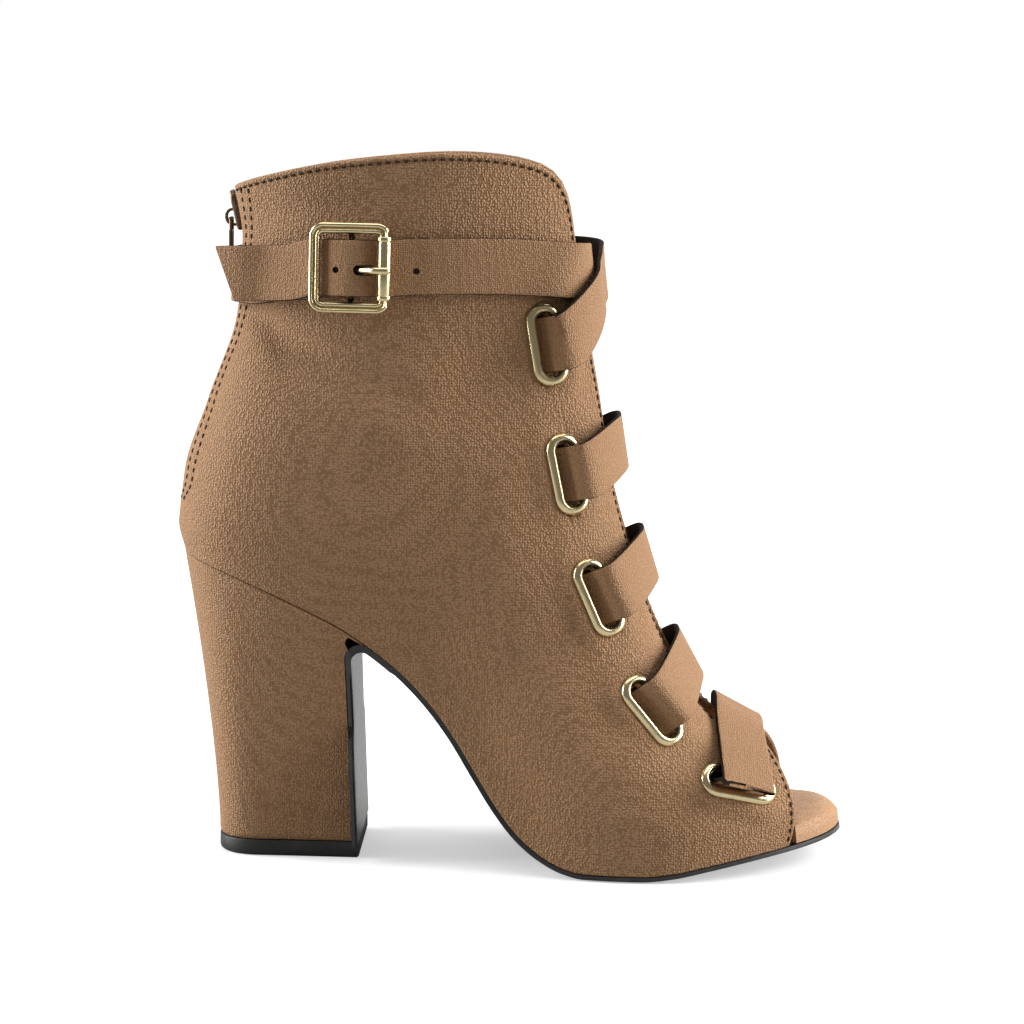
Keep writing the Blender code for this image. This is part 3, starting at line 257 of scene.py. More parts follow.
def findSkin(side, x, z):
    us, vs = np.linspace(0.02, 1, 60), np.linspace(0.3, 1, 40)
    grid = skin(side, us, vs)
    miss = (grid[..., 0] - x) ** 2 + (grid[..., 2] - z) ** 2
    i, j = np.unravel_index(np.argmin(miss), miss.shape)
    at = np.array([us[i], vs[j]])
    for _ in range(8):
        here = skin(side, at[:1], at[1:])[0, 0]
        ju = (skin(side, at[:1] + 1e-3, at[1:])[0, 0] - here) / 1e-3
        jv = (skin(side, at[:1], at[1:] - 1e-3)[0, 0] - here) / -1e-3
        jac = np.array([[ju[0], jv[0]], [ju[2], jv[2]]])
        at = np.clip(at - np.linalg.solve(jac, (here[0] - x, here[2] - z)), 0, 1)
    return at


# Meshes and node helpers

def makeMesh(name, points, faces, mats, kinds=None):
    mesh = bpy.data.meshes.new(name)
    mesh.from_pydata((np.asarray(points, float) * mm).tolist(), [], [list(map(int, f)) for f in faces])
    for mat in mats:
        mesh.materials.append(mat)
    if kinds is not None:
        mesh.polygons.foreach_set("material_index", np.asarray(kinds, np.int32))
    mesh.polygons.foreach_set("use_smooth", np.ones(len(mesh.polygons), bool))
    mesh.update()
    ob = bpy.data.objects.new(name, mesh)
    scene.collection.objects.link(ob)
    return ob


def shell(outer, inner, faces, swell):
    # closed wall between two sheets of the same points; swell rounds its edges, 0 is flat
    n = len(outer)
    faces = np.asarray(faces)
    a = faces.ravel()
    b = np.roll(faces, -1, axis=1).ravel()
    rim = ~np.isin(a * n + b, b * n + a)
    a, b = a[rim], b[rim]
    following, before = dict(zip(a, b)), dict(zip(b, a))
    ring, points, start = {}, [outer, inner], 2 * n
    for p in following:
        along = unit(outer[following[p]] - outer[before[p]])
        half = 0.5 * (outer[p] - inner[p])
        away = unit(np.cross(along, half)) * np.linalg.norm(half) * swell[p]
        mid = 0.5 * (outer[p] + inner[p])
        ring[p] = start
        for t in (45, 90, 135):
            r = math.radians(t)
            points.append((mid + half * math.cos(r) + away * math.sin(r))[None])
        start += 3
    caps = []
    for p, q in zip(a, b):
        rp = [p, ring[p], ring[p] + 1, ring[p] + 2, n + p]
        rq = [q, ring[q], ring[q] + 1, ring[q] + 2, n + q]
        caps += [(rq[k], rp[k], rp[k + 1], rq[k + 1]) for k in range(4)]
    every = list(faces) + [n + f[::-1] for f in faces] + caps
    kinds = [0] * len(faces) + [1] * len(faces) + [0] * len(caps)
    return np.concatenate(points), every, kinds


def gridFaces(rows, cols):
    i, j = np.meshgrid(np.arange(rows - 1), np.arange(cols - 1), indexing="ij")
    a = (i * cols + j).ravel()
    return np.stack((a, a + 1, a + cols + 1, a + cols), -1)


def loft(name, rings, mats, closed=False, kinds=None):
    # body through rings of points; closed joins the last ring to the first
    rings = np.asarray(rings, float)
    count, around = rings.shape[:2]
    faces = []
    for r in range(count if closed else count - 1):
        s = (r + 1) % count
        for c in range(around):
            d = (c + 1) % around
            faces.append((r * around + c, r * around + d, s * around + d, s * around + c))
    if not closed:
        faces.append(tuple(range(around - 1, -1, -1)))
        faces.append(tuple((count - 1) * around + k for k in range(around)))
    ob = makeMesh(name, rings.reshape(-1, 3), faces, mats, kinds)
    return faceOut(ob)


def faceOut(ob):
    # turns a closed body the right way out
    bm = bmesh.new()
    bm.from_mesh(ob.data)
    bmesh.ops.recalc_face_normals(bm, faces=bm.faces)
    if bm.calc_volume(signed=True) < 0:
        bmesh.ops.reverse_faces(bm, faces=bm.faces)
    bm.to_mesh(ob.data)
    bm.free()
    return ob


def applied(ob):
    # the evaluated shape as a plain mesh
    shape = bpy.data.meshes.new_from_object(ob.evaluated_get(bpy.context.evaluated_depsgraph_get()))
    ob.modifiers.clear()
    ob.data = shape
    return ob


def sharpen(ob, angle):
    ob.data.set_sharp_from_angle(angle=math.radians(angle))
    return ob


def drill(ob, cutters):
    for cutter in cutters:
        cut = ob.modifiers.new("hole", "BOOLEAN")
        cut.operation, cut.object, cut.solver = "DIFFERENCE", cutter, "EXACT"
        applied(ob)
        bpy.data.objects.remove(cutter)
    return ob


def keep(ob, body, nodes):
    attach(ob, body)
    if nodes:
        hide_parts(*nodes)
    return ob


# Shared shader effects

def newGroup(name, inputs, outputs):
    group = bpy.data.node_groups.new(name, "ShaderNodeTree")
    for label, value in inputs:
        socket = group.interface.new_socket(label, in_out="INPUT", socket_type="NodeSocketFloat")
        socket.default_value = value
    for label in outputs:
        group.interface.new_socket(label, in_out="OUTPUT", socket_type="NodeSocketFloat")
    return group, group.nodes.new("NodeGroupInput"), group.nodes.new("NodeGroupOutput")


def mathNode(tree, operation, a, b):
    node = tree.nodes.new("ShaderNodeMath")
    node.operation = operation
    for k, value in enumerate((a, b)):
        if isinstance(value, (int, float)):
            node.inputs[k].default_value = value
        elif value is not None:
            tree.links.new(value, node.inputs[k])
    return node.outputs[0]


def ramp(tree, value, low, high, outLow=0.0, outHigh=1.0):
    node = tree.nodes.new("ShaderNodeMapRange")
    node.interpolation_type = "SMOOTHSTEP"
    tree.links.new(value, node.inputs["Value"])
    for label, x in (("From Min", low), ("From Max", high), ("To Min", outLow), ("To Max", outHigh)):
        node.inputs[label].default_value = x
    return node.outputs["Result"]


def noise(tree, vector, scale, detail=2.0, rough=0.5):
    node = tree.nodes.new("ShaderNodeTexNoise")
    node.inputs["Detail"].default_value = detail
    node.inputs["Roughness"].default_value = rough
    if isinstance(scale, (int, float)):
        node.inputs["Scale"].default_value = scale
    else:
        tree.links.new(scale, node.inputs["Scale"])
    tree.links.new(vector, node.inputs["Vector"])
    return node.outputs["Fac"]


def pebbleGroup():
    # pressed leather grain: rounded cells with fine pores between them
    group, given, made = newGroup("pebbleGrain", [("Scale", 950.0)],
                                  ["Height", "Valley", "Mottle"])
    place = group.nodes.new("ShaderNodeTexCoord").outputs["Object"]
    wander = group.nodes.new("ShaderNodeTexNoise")
    wander.inputs["Scale"].default_value = 260.0
    group.links.new(place, wander.inputs["Vector"])
    shift = group.nodes.new("ShaderNodeVectorMath")
    shift.operation = "MULTIPLY_ADD"
    group.links.new(wander.outputs["Color"], shift.inputs[0])
    shift.inputs[1].default_value = (0.0005, 0.0005, 0.0005)
    group.links.new(place, shift.inputs[2])
    cells = group.nodes.new("ShaderNodeTexVoronoi")
    cells.feature = "SMOOTH_F1"
    cells.inputs["Smoothness"].default_value = 0.35
    cells.inputs["Randomness"].default_value = 0.6
    group.links.new(given.outputs["Scale"], cells.inputs["Scale"])
    group.links.new(shift.outputs[0], cells.inputs["Vector"])
    far = cells.outputs["Distance"]
    dome = ramp(group, far, 0.62, 0.12)
    pores = noise(group, place, mathNode(group, "MULTIPLY", given.outputs["Scale"], 3.6), 2.0)
    height = mathNode(group, "ADD", dome, mathNode(group, "MULTIPLY", pores, 0.35))
    group.links.new(height, made.inputs["Height"])
    group.links.new(ramp(group, far, 0.34, 0.66), made.inputs["Valley"])
    group.links.new(noise(group, place, 34.0, 4.0, 0.6), made.inputs["Mottle"])
    return group


def napGroup():
    # short fibres of suede and felt
    group, given, made = newGroup("napFibres", [("Scale", 2600.0)], ["Height", "Tone"])
    place = group.nodes.new("ShaderNodeTexCoord").outputs["Object"]
    fibres = noise(group, place, given.outputs["Scale"], 5.0, 0.7)
    group.links.new(fibres, made.inputs["Height"])
    tone = mathNode(group, "ADD", mathNode(group, "MULTIPLY", fibres, 0.6),
                    mathNode(group, "MULTIPLY", noise(group, place, 150.0, 3.0), 0.4))
    group.links.new(tone, made.inputs["Tone"])
    return group


def scuffGroup():
    # faint handling marks and dust for hard pieces
    group, given, made = newGroup("softScuffs", [("Scale", 90.0)], ["Mask", "Fine"])
    place = group.nodes.new("ShaderNodeTexCoord").outputs["Object"]
    broad = noise(group, place, given.outputs["Scale"], 6.0, 0.65)
    group.links.new(ramp(group, broad, 0.48, 0.72), made.inputs["Mask"])
    fine = noise(group, place, mathNode(group, "MULTIPLY", given.outputs["Scale"], 14.0), 3.0)
    group.links.new(fine, made.inputs["Fine"])
    return group


groups = {"pebble": pebbleGroup(), "nap": napGroup(), "scuff": scuffGroup()}


def newMaterial(name, rough, metal=0.0):
    mat = bpy.data.materials.new(name)
    mat.use_nodes = True
    shader = mat.node_tree.nodes["Principled BSDF"]
    shader.inputs["Roughness"].default_value = rough
    shader.inputs["Metallic"].default_value = metal
    return mat, mat.node_tree, shader


def useGroup(tree, key, **values):
    node = tree.nodes.new("ShaderNodeGroup")
    node.node_tree = groups[key]
    for label, value in values.items():
        node.inputs[label].default_value = value
    return node


def mixColour(tree, a, b, factor):
    node = tree.nodes.new("ShaderNodeMix")
    node.data_type = "RGBA"
    for socket, value in ((node.inputs[6], a), (node.inputs[7], b)):
        if isinstance(value, tuple):
            socket.default_value = (*value, 1.0)
        else:
            tree.links.new(value, socket)
    tree.links.new(factor, node.inputs[0])
    return node.outputs[2]


def addBump(tree, shader, height, strength, distance):
    bump = tree.nodes.new("ShaderNodeBump")
    bump.inputs["Strength"].default_value = strength
    bump.inputs["Distance"].default_value = distance
    tree.links.new(height, bump.inputs["Height"])
    tree.links.new(bump.outputs["Normal"], shader.inputs["Normal"])


def tint(colour, by):
    return tuple(c * by for c in colour)


def leather(name, colour, rough=0.55, scale=1250.0, depth=0.0004, dark=0.66, sheen=0.03):
    mat, tree, shader = newMaterial(name, rough)
    grain = useGroup(tree, "pebble", Scale=scale)
    cells = mixColour(tree, tint(colour, 1.06), tint(colour, dark), grain.outputs["Valley"])
    patch = ramp(tree, grain.outputs["Mottle"], 0.35, 0.7, 0.0, 0.07)
    tree.links.new(mixColour(tree, cells, tint(colour, 0.6), patch), shader.inputs["Base Color"])
    tree.links.new(ramp(tree, grain.outputs["Valley"], 0.0, 1.0, rough - 0.05, rough + 0.2),
                   shader.inputs["Roughness"])
    addBump(tree, shader, grain.outputs["Height"], 0.8, depth)
    shader.inputs["Specular IOR Level"].default_value = 0.32
    shader.inputs["Sheen Weight"].default_value = sheen
    shader.inputs["Sheen Roughness"].default_value = 0.5
    return mat


def felt(name, colour, scale=2600.0, rough=0.95):
    mat, tree, shader = newMaterial(name, rough)
    nap = useGroup(tree, "nap", Scale=scale)
    tone = mixColour(tree, tint(colour, 0.55), tint(colour, 1.5), nap.outputs["Tone"])
    tree.links.new(tone, shader.inputs["Base Color"])
    addBump(tree, shader, nap.outputs["Height"], 0.6, 0.0002)
    shader.inputs["Specular IOR Level"].default_value = 0.15
    return mat


def metal(name, colour, rough, marks=0.12):
    mat, tree, shader = newMaterial(name, rough, 1.0)
    scuff = useGroup(tree, "scuff", Scale=110.0)
    tone = mixColour(tree, colour, tint(colour, 0.78), scuff.outputs["Mask"])
    tree.links.new(tone, shader.inputs["Base Color"])
    tree.links.new(ramp(tree, scuff.outputs["Mask"], 0.0, 1.0, rough, rough + marks),
                   shader.inputs["Roughness"])
    addBump(tree, shader, scuff.outputs["Fine"], 0.05, 0.00005)
    return mat


def rubber(name, colour, rough, coat=0.0):
    mat, tree, shader = newMaterial(name, rough)
    scuff = useGroup(tree, "scuff", Scale=70.0)
    tone = mixColour(tree, colour, tint(colour, 2.4), scuff.outputs["Mask"])
    tree.links.new(tone, shader.inputs["Base Color"])
    tree.links.new(ramp(tree, scuff.outputs["Fine"], 0.2, 0.8, rough - 0.06, rough + 0.1),
                   shader.inputs["Roughness"])
    addBump(tree, shader, scuff.outputs["Fine"], 0.12, 0.00012)
    shader.inputs["Coat Weight"].default_value = coat
    shader.inputs["Coat Roughness"].default_value = 0.2
    return mat


finish = {
    "tan": (0.338, 0.180, 0.080),
    "strap": (0.305, 0.162, 0.073),
    "footbed": (0.37, 0.205, 0.100),
    "underside": (0.018, 0.012, 0.009),
    "lining": (0.36, 0.25, 0.165),
    "thread": (0.040, 0.022, 0.012),
    "gold": (0.78, 0.64, 0.37),
    "antique": (0.20, 0.14, 0.085),
    "black": (0.012, 0.011, 0.010),
}

upperLeather = leather("upperLeather", finish["tan"])
strapLeather = leather("strapLeather", finish["strap"], 0.56, 1500.0, 0.0003, 0.82)
footbedLeather = leather("footbedLeather", finish["footbed"], 0.5, 1300.0, 0.0001, 0.85)
heelLeather = leather("heelLeather", finish["tan"], 0.52, 1350.0, 0.00035)
underFelt = felt("strapUnderside", finish["underside"])
liningFelt = felt("liningCloth", finish["lining"], 1500.0, 0.8)
threadMat = felt("threadBrown", finish["thread"], 6000.0, 0.7)
goldMetal = metal("paleGold", finish["gold"], 0.22)
zipMetal = metal("antiqueBrass", finish["antique"], 0.34)
soleRubber = rubber("soleRubber", finish["black"], 0.32, 0.3)
tipRubber = rubber("tipRubber", finish["black"], 0.55)
zipCloth = felt("zipCloth", (0.05, 0.032, 0.02), 3500.0, 0.9)
print("materials ready")


# Where the hardware sits on the upper

eyelet = {
    "hole": (19.4, 5.0),
    "lip": 3.2,
    "high": 1.5,
    "section": (             # outward from the opening, height over the leather
        (0.0, -2.5), (0.0, 0.15), (0.1, 0.62), (0.38, 1.08), (0.85, 1.4), (1.4, 1.5),
        (1.95, 1.42), (2.45, 1.17), (2.85, 0.8), (3.12, 0.4), (3.2, 0.02), (3.0, -0.12),
        (0.8, -0.12), (0.8, -1.95), (3.0, -2.0), (3.15, -2.2), (2.9, -2.45), (1.2, -2.6), (0.3, -2.72)),
}


def eyeletPlace(side, k):
    tx, tz, bx, bz = last["eyelets"][k]
    ends = [skin(side, *[np.array([q]) for q in findSkin(side, x, z)])[0, 0] for x, z in ((tx, tz), (bx, bz))]
    u, v = findSkin(side, 0.5 * (tx + bx), 0.5 * (tz + bz))
    centre, out = skin(side, [u], [v])[0, 0], skinNormal(side, u, v)[0, 0]
    long = unit(ends[0] - ends[1])
    out = unit(out - long * np.dot(out, long))
    cross = np.cross(out, long)
    near = skin(side, np.linspace(max(u - 0.06, 0), min(u + 0.06, 1), 15),
                np.linspace(max(v - 0.16, 0), min(v + 0.16, 1), 15)).reshape(-1, 3) - centre
    under = ((abs(near @ long) < 0.5 * eyelet["hole"][0] + eyelet["lip"])
             & (abs(near @ cross) < 0.5 * eyelet["hole"][1] + eyelet["lip"]))
    return centre + out * max(0.0, (near[under] @ out).max()), long, cross, out


eyelets = {(side, k): eyeletPlace(side, k) for side in (-1, 1) for k in range(5)}


def stadium(length, width, perEnd):
    r = 0.5 * width
    turn = np.linspace(-np.pi / 2, np.pi / 2, perEnd)
    right = np.stack((0.5 * length - r + r * np.cos(turn), r * np.sin(turn)), -1)
    norm = np.stack((np.cos(turn), np.sin(turn)), -1)
    return np.concatenate((right, -right)), np.concatenate((norm, -norm))


def makeEyelet(side, k):
    centre, long, cross, out = eyelets[side, k]
    line, norm = stadium(*eyelet["hole"], 14)
    rings = [[centre + long * (a + na * s) + cross * (b + nb * s) + out * h for s, h in eyelet["section"]]
             for (a, b), (na, nb) in zip(line, norm)]
    name = f"eyelet_{'outer' if side < 0 else 'inner'}_{k + 1}"
    ob = loft(f"grommet_{name[7:]}", rings, [goldMetal], closed=True)
    sharpen(ob, 50)
    return keep(ob, "boot", [name])


for (side, k) in eyelets:
    makeEyelet(side, k)
print("eyelets set")


# Upper: one wall with folded edges, eyelet holes and the slot for the zip

upper = {
    "columns": 118,          # heel to toe on each side
    "rows": 62,
    "edgeSteps": (7.0, 5.6, 4.5, 3.6, 2.95, 2.45, 2.05, 1.65, 1.25, 0.9),
    "girth": 232.0,          # heel to toe, halfway up
    "ribLong": 1.06,         # a rib along its curve, as a share of its chord
    "backSteps": (0.0, 0.4, 0.8, 1.2, 1.7, 2.3, 3.0, 3.8, 4.6, 5.2, 5.8, 6.6),
    "stitchIn": 2.0,         # stitch line from the folded edge
    "grooveDeep": 0.22,
    "slotHalf": 3.2,
    "slotEnd": 113.0,        # height of the zip's bottom stop
    "bindingIn": (9.5, 15.0), # stitch rows beside the zip
    "folds": (               # soft folds that only show in the leather's face
        (1.0, 157.0, 19.0, 7.5, -42.0, 1.3),
        (-6.0, 166.0, 13.0, 3.6, -52.0, 1.71), (6.0, 160.0, 15.0, 4.2, -42.0, 1.52),
        (-2.0, 172.0, 10.0, 3.0, -48.0, -0.66), (28.0, 150.0, 22.0, 6.0, -24.0, 0.95),
        (24.0, 205.5, 26.0, 4.2, 8.0, 1.04), (16.0, 200.0, 22.0, 3.4, 4.0, -0.57),
        (58.0, 150.0, 16.0, 9.0, 62.0, 1.33), (84.0, 72.0, 16.0, 6.0, 58.0, 0.95),
        (100.0, 48.0, 15.0, 5.0, 48.0, 0.85), (-24.0, 128.0, 16.0, 7.0, 80.0, 0.4)),
}


def slotStart(side, v):
    # u of the zip slot's edge at each share of height along the back
    line = skin(side, np.linspace(0, 0.12, 13), v)
    half = upper["slotHalf"] + 0.9
    z = line[0, :, 2]
    spread = np.sqrt(np.clip((z - upper["slotEnd"]) / 4.0, 0, 1)) * half
    return np.array([np.interp(spread[j], np.abs(line[:, j, 1]), np.linspace(0, 0.12, 13))
                     for j in range(len(v))])


def upperGrid(side):
    steps = np.array(upper["edgeSteps"])
    t = np.concatenate((np.array(upper["backSteps"]) / upper["girth"],
                        np.linspace(8.0, upper["girth"] - 8.6, upper["columns"] - 22) / upper["girth"],
                        1 - steps / upper["girth"]))
    foot, top = ribEnds(side, t)
    tall = np.linalg.norm(top - foot, axis=1) * upper["ribLong"]
    low = np.concatenate(((0.0, 0.006, 0.015), np.linspace(0.03, 1.0, upper["rows"] - 3)))
    v = np.concatenate((low[None] * (1 - 8.4 / tall)[:, None], 1 - steps[None] / tall[:, None]), axis=1)
    start = slotStart(side, v[0])
    u = start[None, :] + (1 - start[None, :]) * t[:, None]
    flat = u.ravel()
    place = skin(side, flat, v.ravel()[:, None], upper["folds"]).reshape(*u.shape, 3)
    return place, u, v, start


def upperNormals(place, side):
    return unit(np.cross(np.gradient(place, axis=1), np.gradient(place, axis=0))) * side


def edgeGrooves(t, v, tall):
    # a shallow dip under each row of stitches
    def dip(d, at):
        return np.exp(-((d - at) / 0.45) ** 2)
    rim = (1 - v) * tall[:, None]
    toe = (1 - t)[:, None] * upper["girth"] * np.ones_like(v)
    return dip(np.minimum(rim, toe), upper["stitchIn"])


def makeUpper():
    outer, inner = [], []
    for side in (-1, 1):
        place, u, v, start = upperGrid(side)
        normal = upperNormals(place, side)
        t = (u[:, 0] - start[0]) / (1 - start[0])
        foot, top = ribEnds(side, t)
        tall = np.linalg.norm(top - foot, axis=1) * upper["ribLong"]
        back = (u - start[None]) * upper["girth"]
        sewn = edgeGrooves(t, v, tall)
        for at in upper["bindingIn"]:
            sewn = sewn + np.exp(-((back - at) / 0.4) ** 2) * (place[..., 2] > upper["slotEnd"] - 4)
        ridge = np.exp(-((back - np.mean(upper["bindingIn"])) / 1.1) ** 2)
        ridge = ridge * (place[..., 2] > upper["slotEnd"])
        place = place + normal * (0.25 * ridge - upper["grooveDeep"] * sewn)[..., None]
        inside = place - normal * last["wall"]
        foot = unit(normal[:, 0] * (1, 1, 0))
        inside[:, 0, :2] = place[:, 0, :2] - foot[:, :2] * last["wall"]
        inside[:, 0, 2] = soleZ(inside[:, 0, 0]) + last["fit"]
        for k in range(5):
            place, inside = seatEyelet(place, inside, eyelets[side, k])
        for j in range(v.shape[1]):
            if start[j] < 1e-6:
                place[0, j, 1] = inside[0, j, 1] = 0.0
        flip = slice(None, None, -1) if side < 0 else slice(None)
        outer.append(place[flip])
        inner.append(inside[flip])
        closed = start < 1e-6
    cols, rows = outer[0].shape[:2]
    outer, inner = np.concatenate(outer), np.concatenate(inner)
    ids = np.arange(2 * cols * rows).reshape(2 * cols, rows)
    ids[cols, closed] = ids[cols - 1, closed]
    faces = []
    hole = np.zeros((2 * cols, rows), bool)
    centres = 0.25 * (outer[:-1, :-1] + outer[1:, :-1] + outer[:-1, 1:] + outer[1:, 1:])
    for (side, k), (centre, long, cross, out) in eyelets.items():
        d = centres - centre
        a, b, h = d @ long, d @ cross, d @ out
        run = np.maximum(np.abs(a) - 0.5 * (eyelet["hole"][0] - eyelet["hole"][1]), 0)
        hole[:-1, :-1] |= (np.hypot(run, b) < 0.5 * eyelet["hole"][1] + 1.3) & (np.abs(h) < 6)
    for i in range(2 * cols - 1):
        if i == cols - 1:
            continue
        for j in range(rows - 1):
            if not hole[i, j]:
                faces.append((ids[i, j], ids[i, j + 1], ids[i + 1, j + 1], ids[i + 1, j]))
    used = np.unique(np.array(faces))
    renumber = np.zeros(2 * cols * rows, int)
    renumber[used] = np.arange(len(used))
    outerUsed, innerUsed = outer.reshape(-1, 3)[used], inner.reshape(-1, 3)[used]
    swell = np.ones(len(used))
    swell[renumber[ids[:, 0]]] = 0.0
    near = np.zeros(2 * cols * rows)
    for i, j in np.argwhere(hole):
        near[ids[i:i + 2, j:j + 2].ravel()] = 1
    swell[near[used] > 0] = 0.0
    points, every, kinds = shell(outerUsed, innerUsed, renumber[np.array(faces)], swell)
    ob = makeMesh("upperBody", points, every, [upperLeather, liningFelt], kinds)
    return keep(ob, "boot", ["upper"])


def seatEyelet(place, inside, where):
    # the leather lies flat under each eyelet's rim
    centre, long, cross, out = where
    d = place - centre
    a, b, h = d @ long, d @ cross, d @ out
    run = np.maximum(np.abs(a) - 0.5 * (eyelet["hole"][0] - eyelet["hole"][1]), 0)
    far = np.hypot(run, b)
    share = smoothStep((12.0 - far) / 5.5) * (np.abs(h) < 8)
    return (place + out * ((-0.12 - h) * share)[..., None],
            inside + out * ((-0.12 - last["wall"] - (inside - centre) @ out) * share)[..., None])


makeUpper()
print("upper made")


# Soles and heel

heel = {
    "tipHigh": 5.1, "tipBack": -21.5, "tipHalf": 19.2, "tipRound": 15.0,
    "breastTop": 19.2, "breastLow": 21.9, "breastFillet": 4.4, "sweep": 1.4,
    "sheet": 1.8, "levels": 46, "around": 120,
}
tipX = last["outlineTip"][0]


def soleFace(drop):
    x = np.linspace(-34.0, 180.0, 900)
    z = soleZ(x)
    t = unit(np.stack((np.gradient(x), np.gradient(z)), -1))
    return np.stack((x + t[:, 1] * drop, z - t[:, 0] * drop), -1)


def corner(line, upright, radius):
    # rounds the turn between the heel's front and the sole
    cx, low, high = upright + radius, 0.0, 120.0
    for _ in range(50):
        cz = 0.5 * (low + high)
        gap = np.min(np.hypot(line[:, 0] - cx, line[:, 1] - cz))
        if cz < np.interp(cx, line[:, 0], line[:, 1]) and gap > radius:
            low = cz
        else:
            high = cz
    k = np.argmin(np.hypot(line[:, 0] - cx, line[:, 1] - cz))
    turn = np.linspace(np.pi, np.arctan2(line[k, 1] - cz, line[k, 0] - cx), 16)
    return np.stack((cx + radius * np.cos(turn), cz + radius * np.sin(turn)), -1), line[k, 0]


topTurn, topTurnEnd = corner(soleFace(0.0), heel["breastTop"], heel["breastFillet"])
underTurn, _ = corner(soleFace(heel["sheet"]), heel["breastTop"] + heel["sheet"], heel["breastFillet"] - 1.2)


def breastX(z):
    return np.interp(z, (heel["tipHigh"], 64.0), (heel["breastLow"], heel["breastTop"]))


def flapHalf(side, z):
    top = soleZ(heel["breastTop"])
    share = np.clip((z - heel["tipHigh"]) / (top - heel["tipHigh"]), 0, 1) ** heel["sweep"]
    return side * heel["tipHalf"] * (1 - share) + planHalf(side, heel["breastTop"]) * share


def sheetBody(name, over, under, mat, swell=0.0):
    rows, cols = over.shape[:2]
    faces = gridFaces(rows, cols)
    points, every, made = shell(over.reshape(-1, 3), under.reshape(-1, 3), faces, np.full(rows * cols, swell))
    return faceOut(makeMesh(name, points, every, [mat, mat], made))


def makeOutsole():
    rise = np.linspace(heel["tipHigh"] + last["fit"], topTurn[0, 1], 20)[:-1]
    top = [(float(breastX(z)), z) for z in rise] + list(topTurn)
    rise = np.linspace(heel["tipHigh"] + last["fit"], underTurn[0, 1], 20)[:-1]
    under = [(float(breastX(z)) + heel["sheet"], z) for z in rise] + list(underTurn)
    half = [[planHalf(s, x) if x > heel["breastTop"] + 1.0 else flapHalf(s, z) for s in (-1, 1)]
            for x, z in top]
    ahead = np.concatenate((np.linspace(28.0, 166.0, 110),
                            (168.0, 169.8, 171.4, 172.8, 174.0, 174.9, 175.6, 175.9)))
    for x in ahead:
        top.append((x, float(soleZ(x))))
        tx, tz = unit((0.1, float(soleZ(x + 0.05) - soleZ(x - 0.05))))
        under.append((x + tz * heel["sheet"], float(soleZ(x)) - tx * heel["sheet"]))
        half.append([planHalf(s, min(x, tipX - 0.1)) for s in (-1, 1)])
    cols = np.array((0.0, 0.012, 0.04, 0.25, 0.5, 0.75, 0.96, 0.988, 1.0))
    lift = np.array((0.4, 0.12, 0.0, 0.0, 0.0, 0.0, 0.0, 0.12, 0.4))
    over, low = [], []
    for (tx, tz), (bx, bz), (lo, hi) in zip(top, under, half):
        y = lo + (hi - lo) * cols
        by = lift if bz < 60 else 0 * lift
        over.append([(tx, w, tz) for w in y])
        low.append([(bx + (tx - bx) * q, w, bz + (tz - bz) * q) for w, q in zip(y, by)])
    ob = sheetBody("soleSheet", np.array(over), np.array(low), soleRubber)
    sharpen(ob, 40)
    return keep(ob, "boot", ["outsole"])


def makeInsole():
    inset = last["wall"] + last["fit"] + 0.35
    edge = last["toeEdge"]
    rows = np.concatenate(((-33.5 + inset + 0.15, -30.6, -29.4, -28.0, -25.0, -20.0),
                           np.linspace(-14.0, 156.0, 60), (edge + 0.6, edge + 1.5, edge + 2.4),
                           np.linspace(162.5, 172.0, 8), (173.2, 174.2, 175.0, 175.5, 175.8)))
    out = np.clip((rows - edge - 0.6) / 1.8, 0, 1)
    t = np.linspace(0.0, 1.0, 25)
    cols = np.concatenate(((0.0, 0.008, 0.018), 0.03 + 0.94 * t, (0.982, 0.992, 1.0)))
    d = np.minimum(cols, 1 - cols)
    sink = 0.5 * np.clip(1 - d / 0.035, 0, 1) ** 2
    under, over = [], []
    for x, o in zip(rows, out):
        tuck = inset + np.interp(x, (100.0, 130.0), (0.0, 0.4))
        lo, hi = [(1 - o) * planHalf(s, x, tuck) + o * planHalf(s, x, 0.4) for s in (-1, 1)]
        y = lo + (hi - lo) * cols
        z = soleZ(x) + last["fit"]
        thick = np.interp(x, (120.0, edge), (3.6, 5.4))
        crown = np.interp(x, (110.0, edge), (0.6, 2.6)) * 4 * cols * (1 - cols)
        end = np.sqrt(1 - (1 - np.clip((tipX - x) / 9.0, 0.0, 1)) ** 2)
        tx, tz = unit((0.1, float(soleZ(x + 0.05) - soleZ(x - 0.05))))
        rise = (thick * (1 - sink) + crown) * (0.14 + 0.86 * end)
        under.append([(x, w, z) for w in y])
        over.append([(x - tz * r, w, z + tx * r) for w, r in zip(y, rise)])
    ob = sheetBody("footbed", np.array(over), np.array(under), footbedLeather)
    sharpen(ob, 60)
    return keep(ob, "boot", ["insole"])


def tipPlan(front, count):
    turn = np.linspace(0.0, np.pi / 2, 25)
    back, half, r = heel["tipBack"], heel["tipHalf"], heel["tipRound"]
    turned = [(back + r * (1 - np.sin(t) ** 0.8), -half + r * (1 - np.cos(t) ** 0.8)) for t in turn]
    side = [(front, -half)] + turned + [(back, 0.0)]
    return shares(np.array(side + [(x, -y) for x, y in side[-2::-1]]), np.linspace(0, 1, count))


def seatPlan(front, count):
    line = []
    for side in (-1, 1):
        part = plan[side][plan[side][:, 0] < front]
        part = np.vstack((part, (front, planHalf(side, front))))
        line.append(part[::-1] if side < 0 else part[1:])
    return shares(np.concatenate(line), np.linspace(0, 1, count))


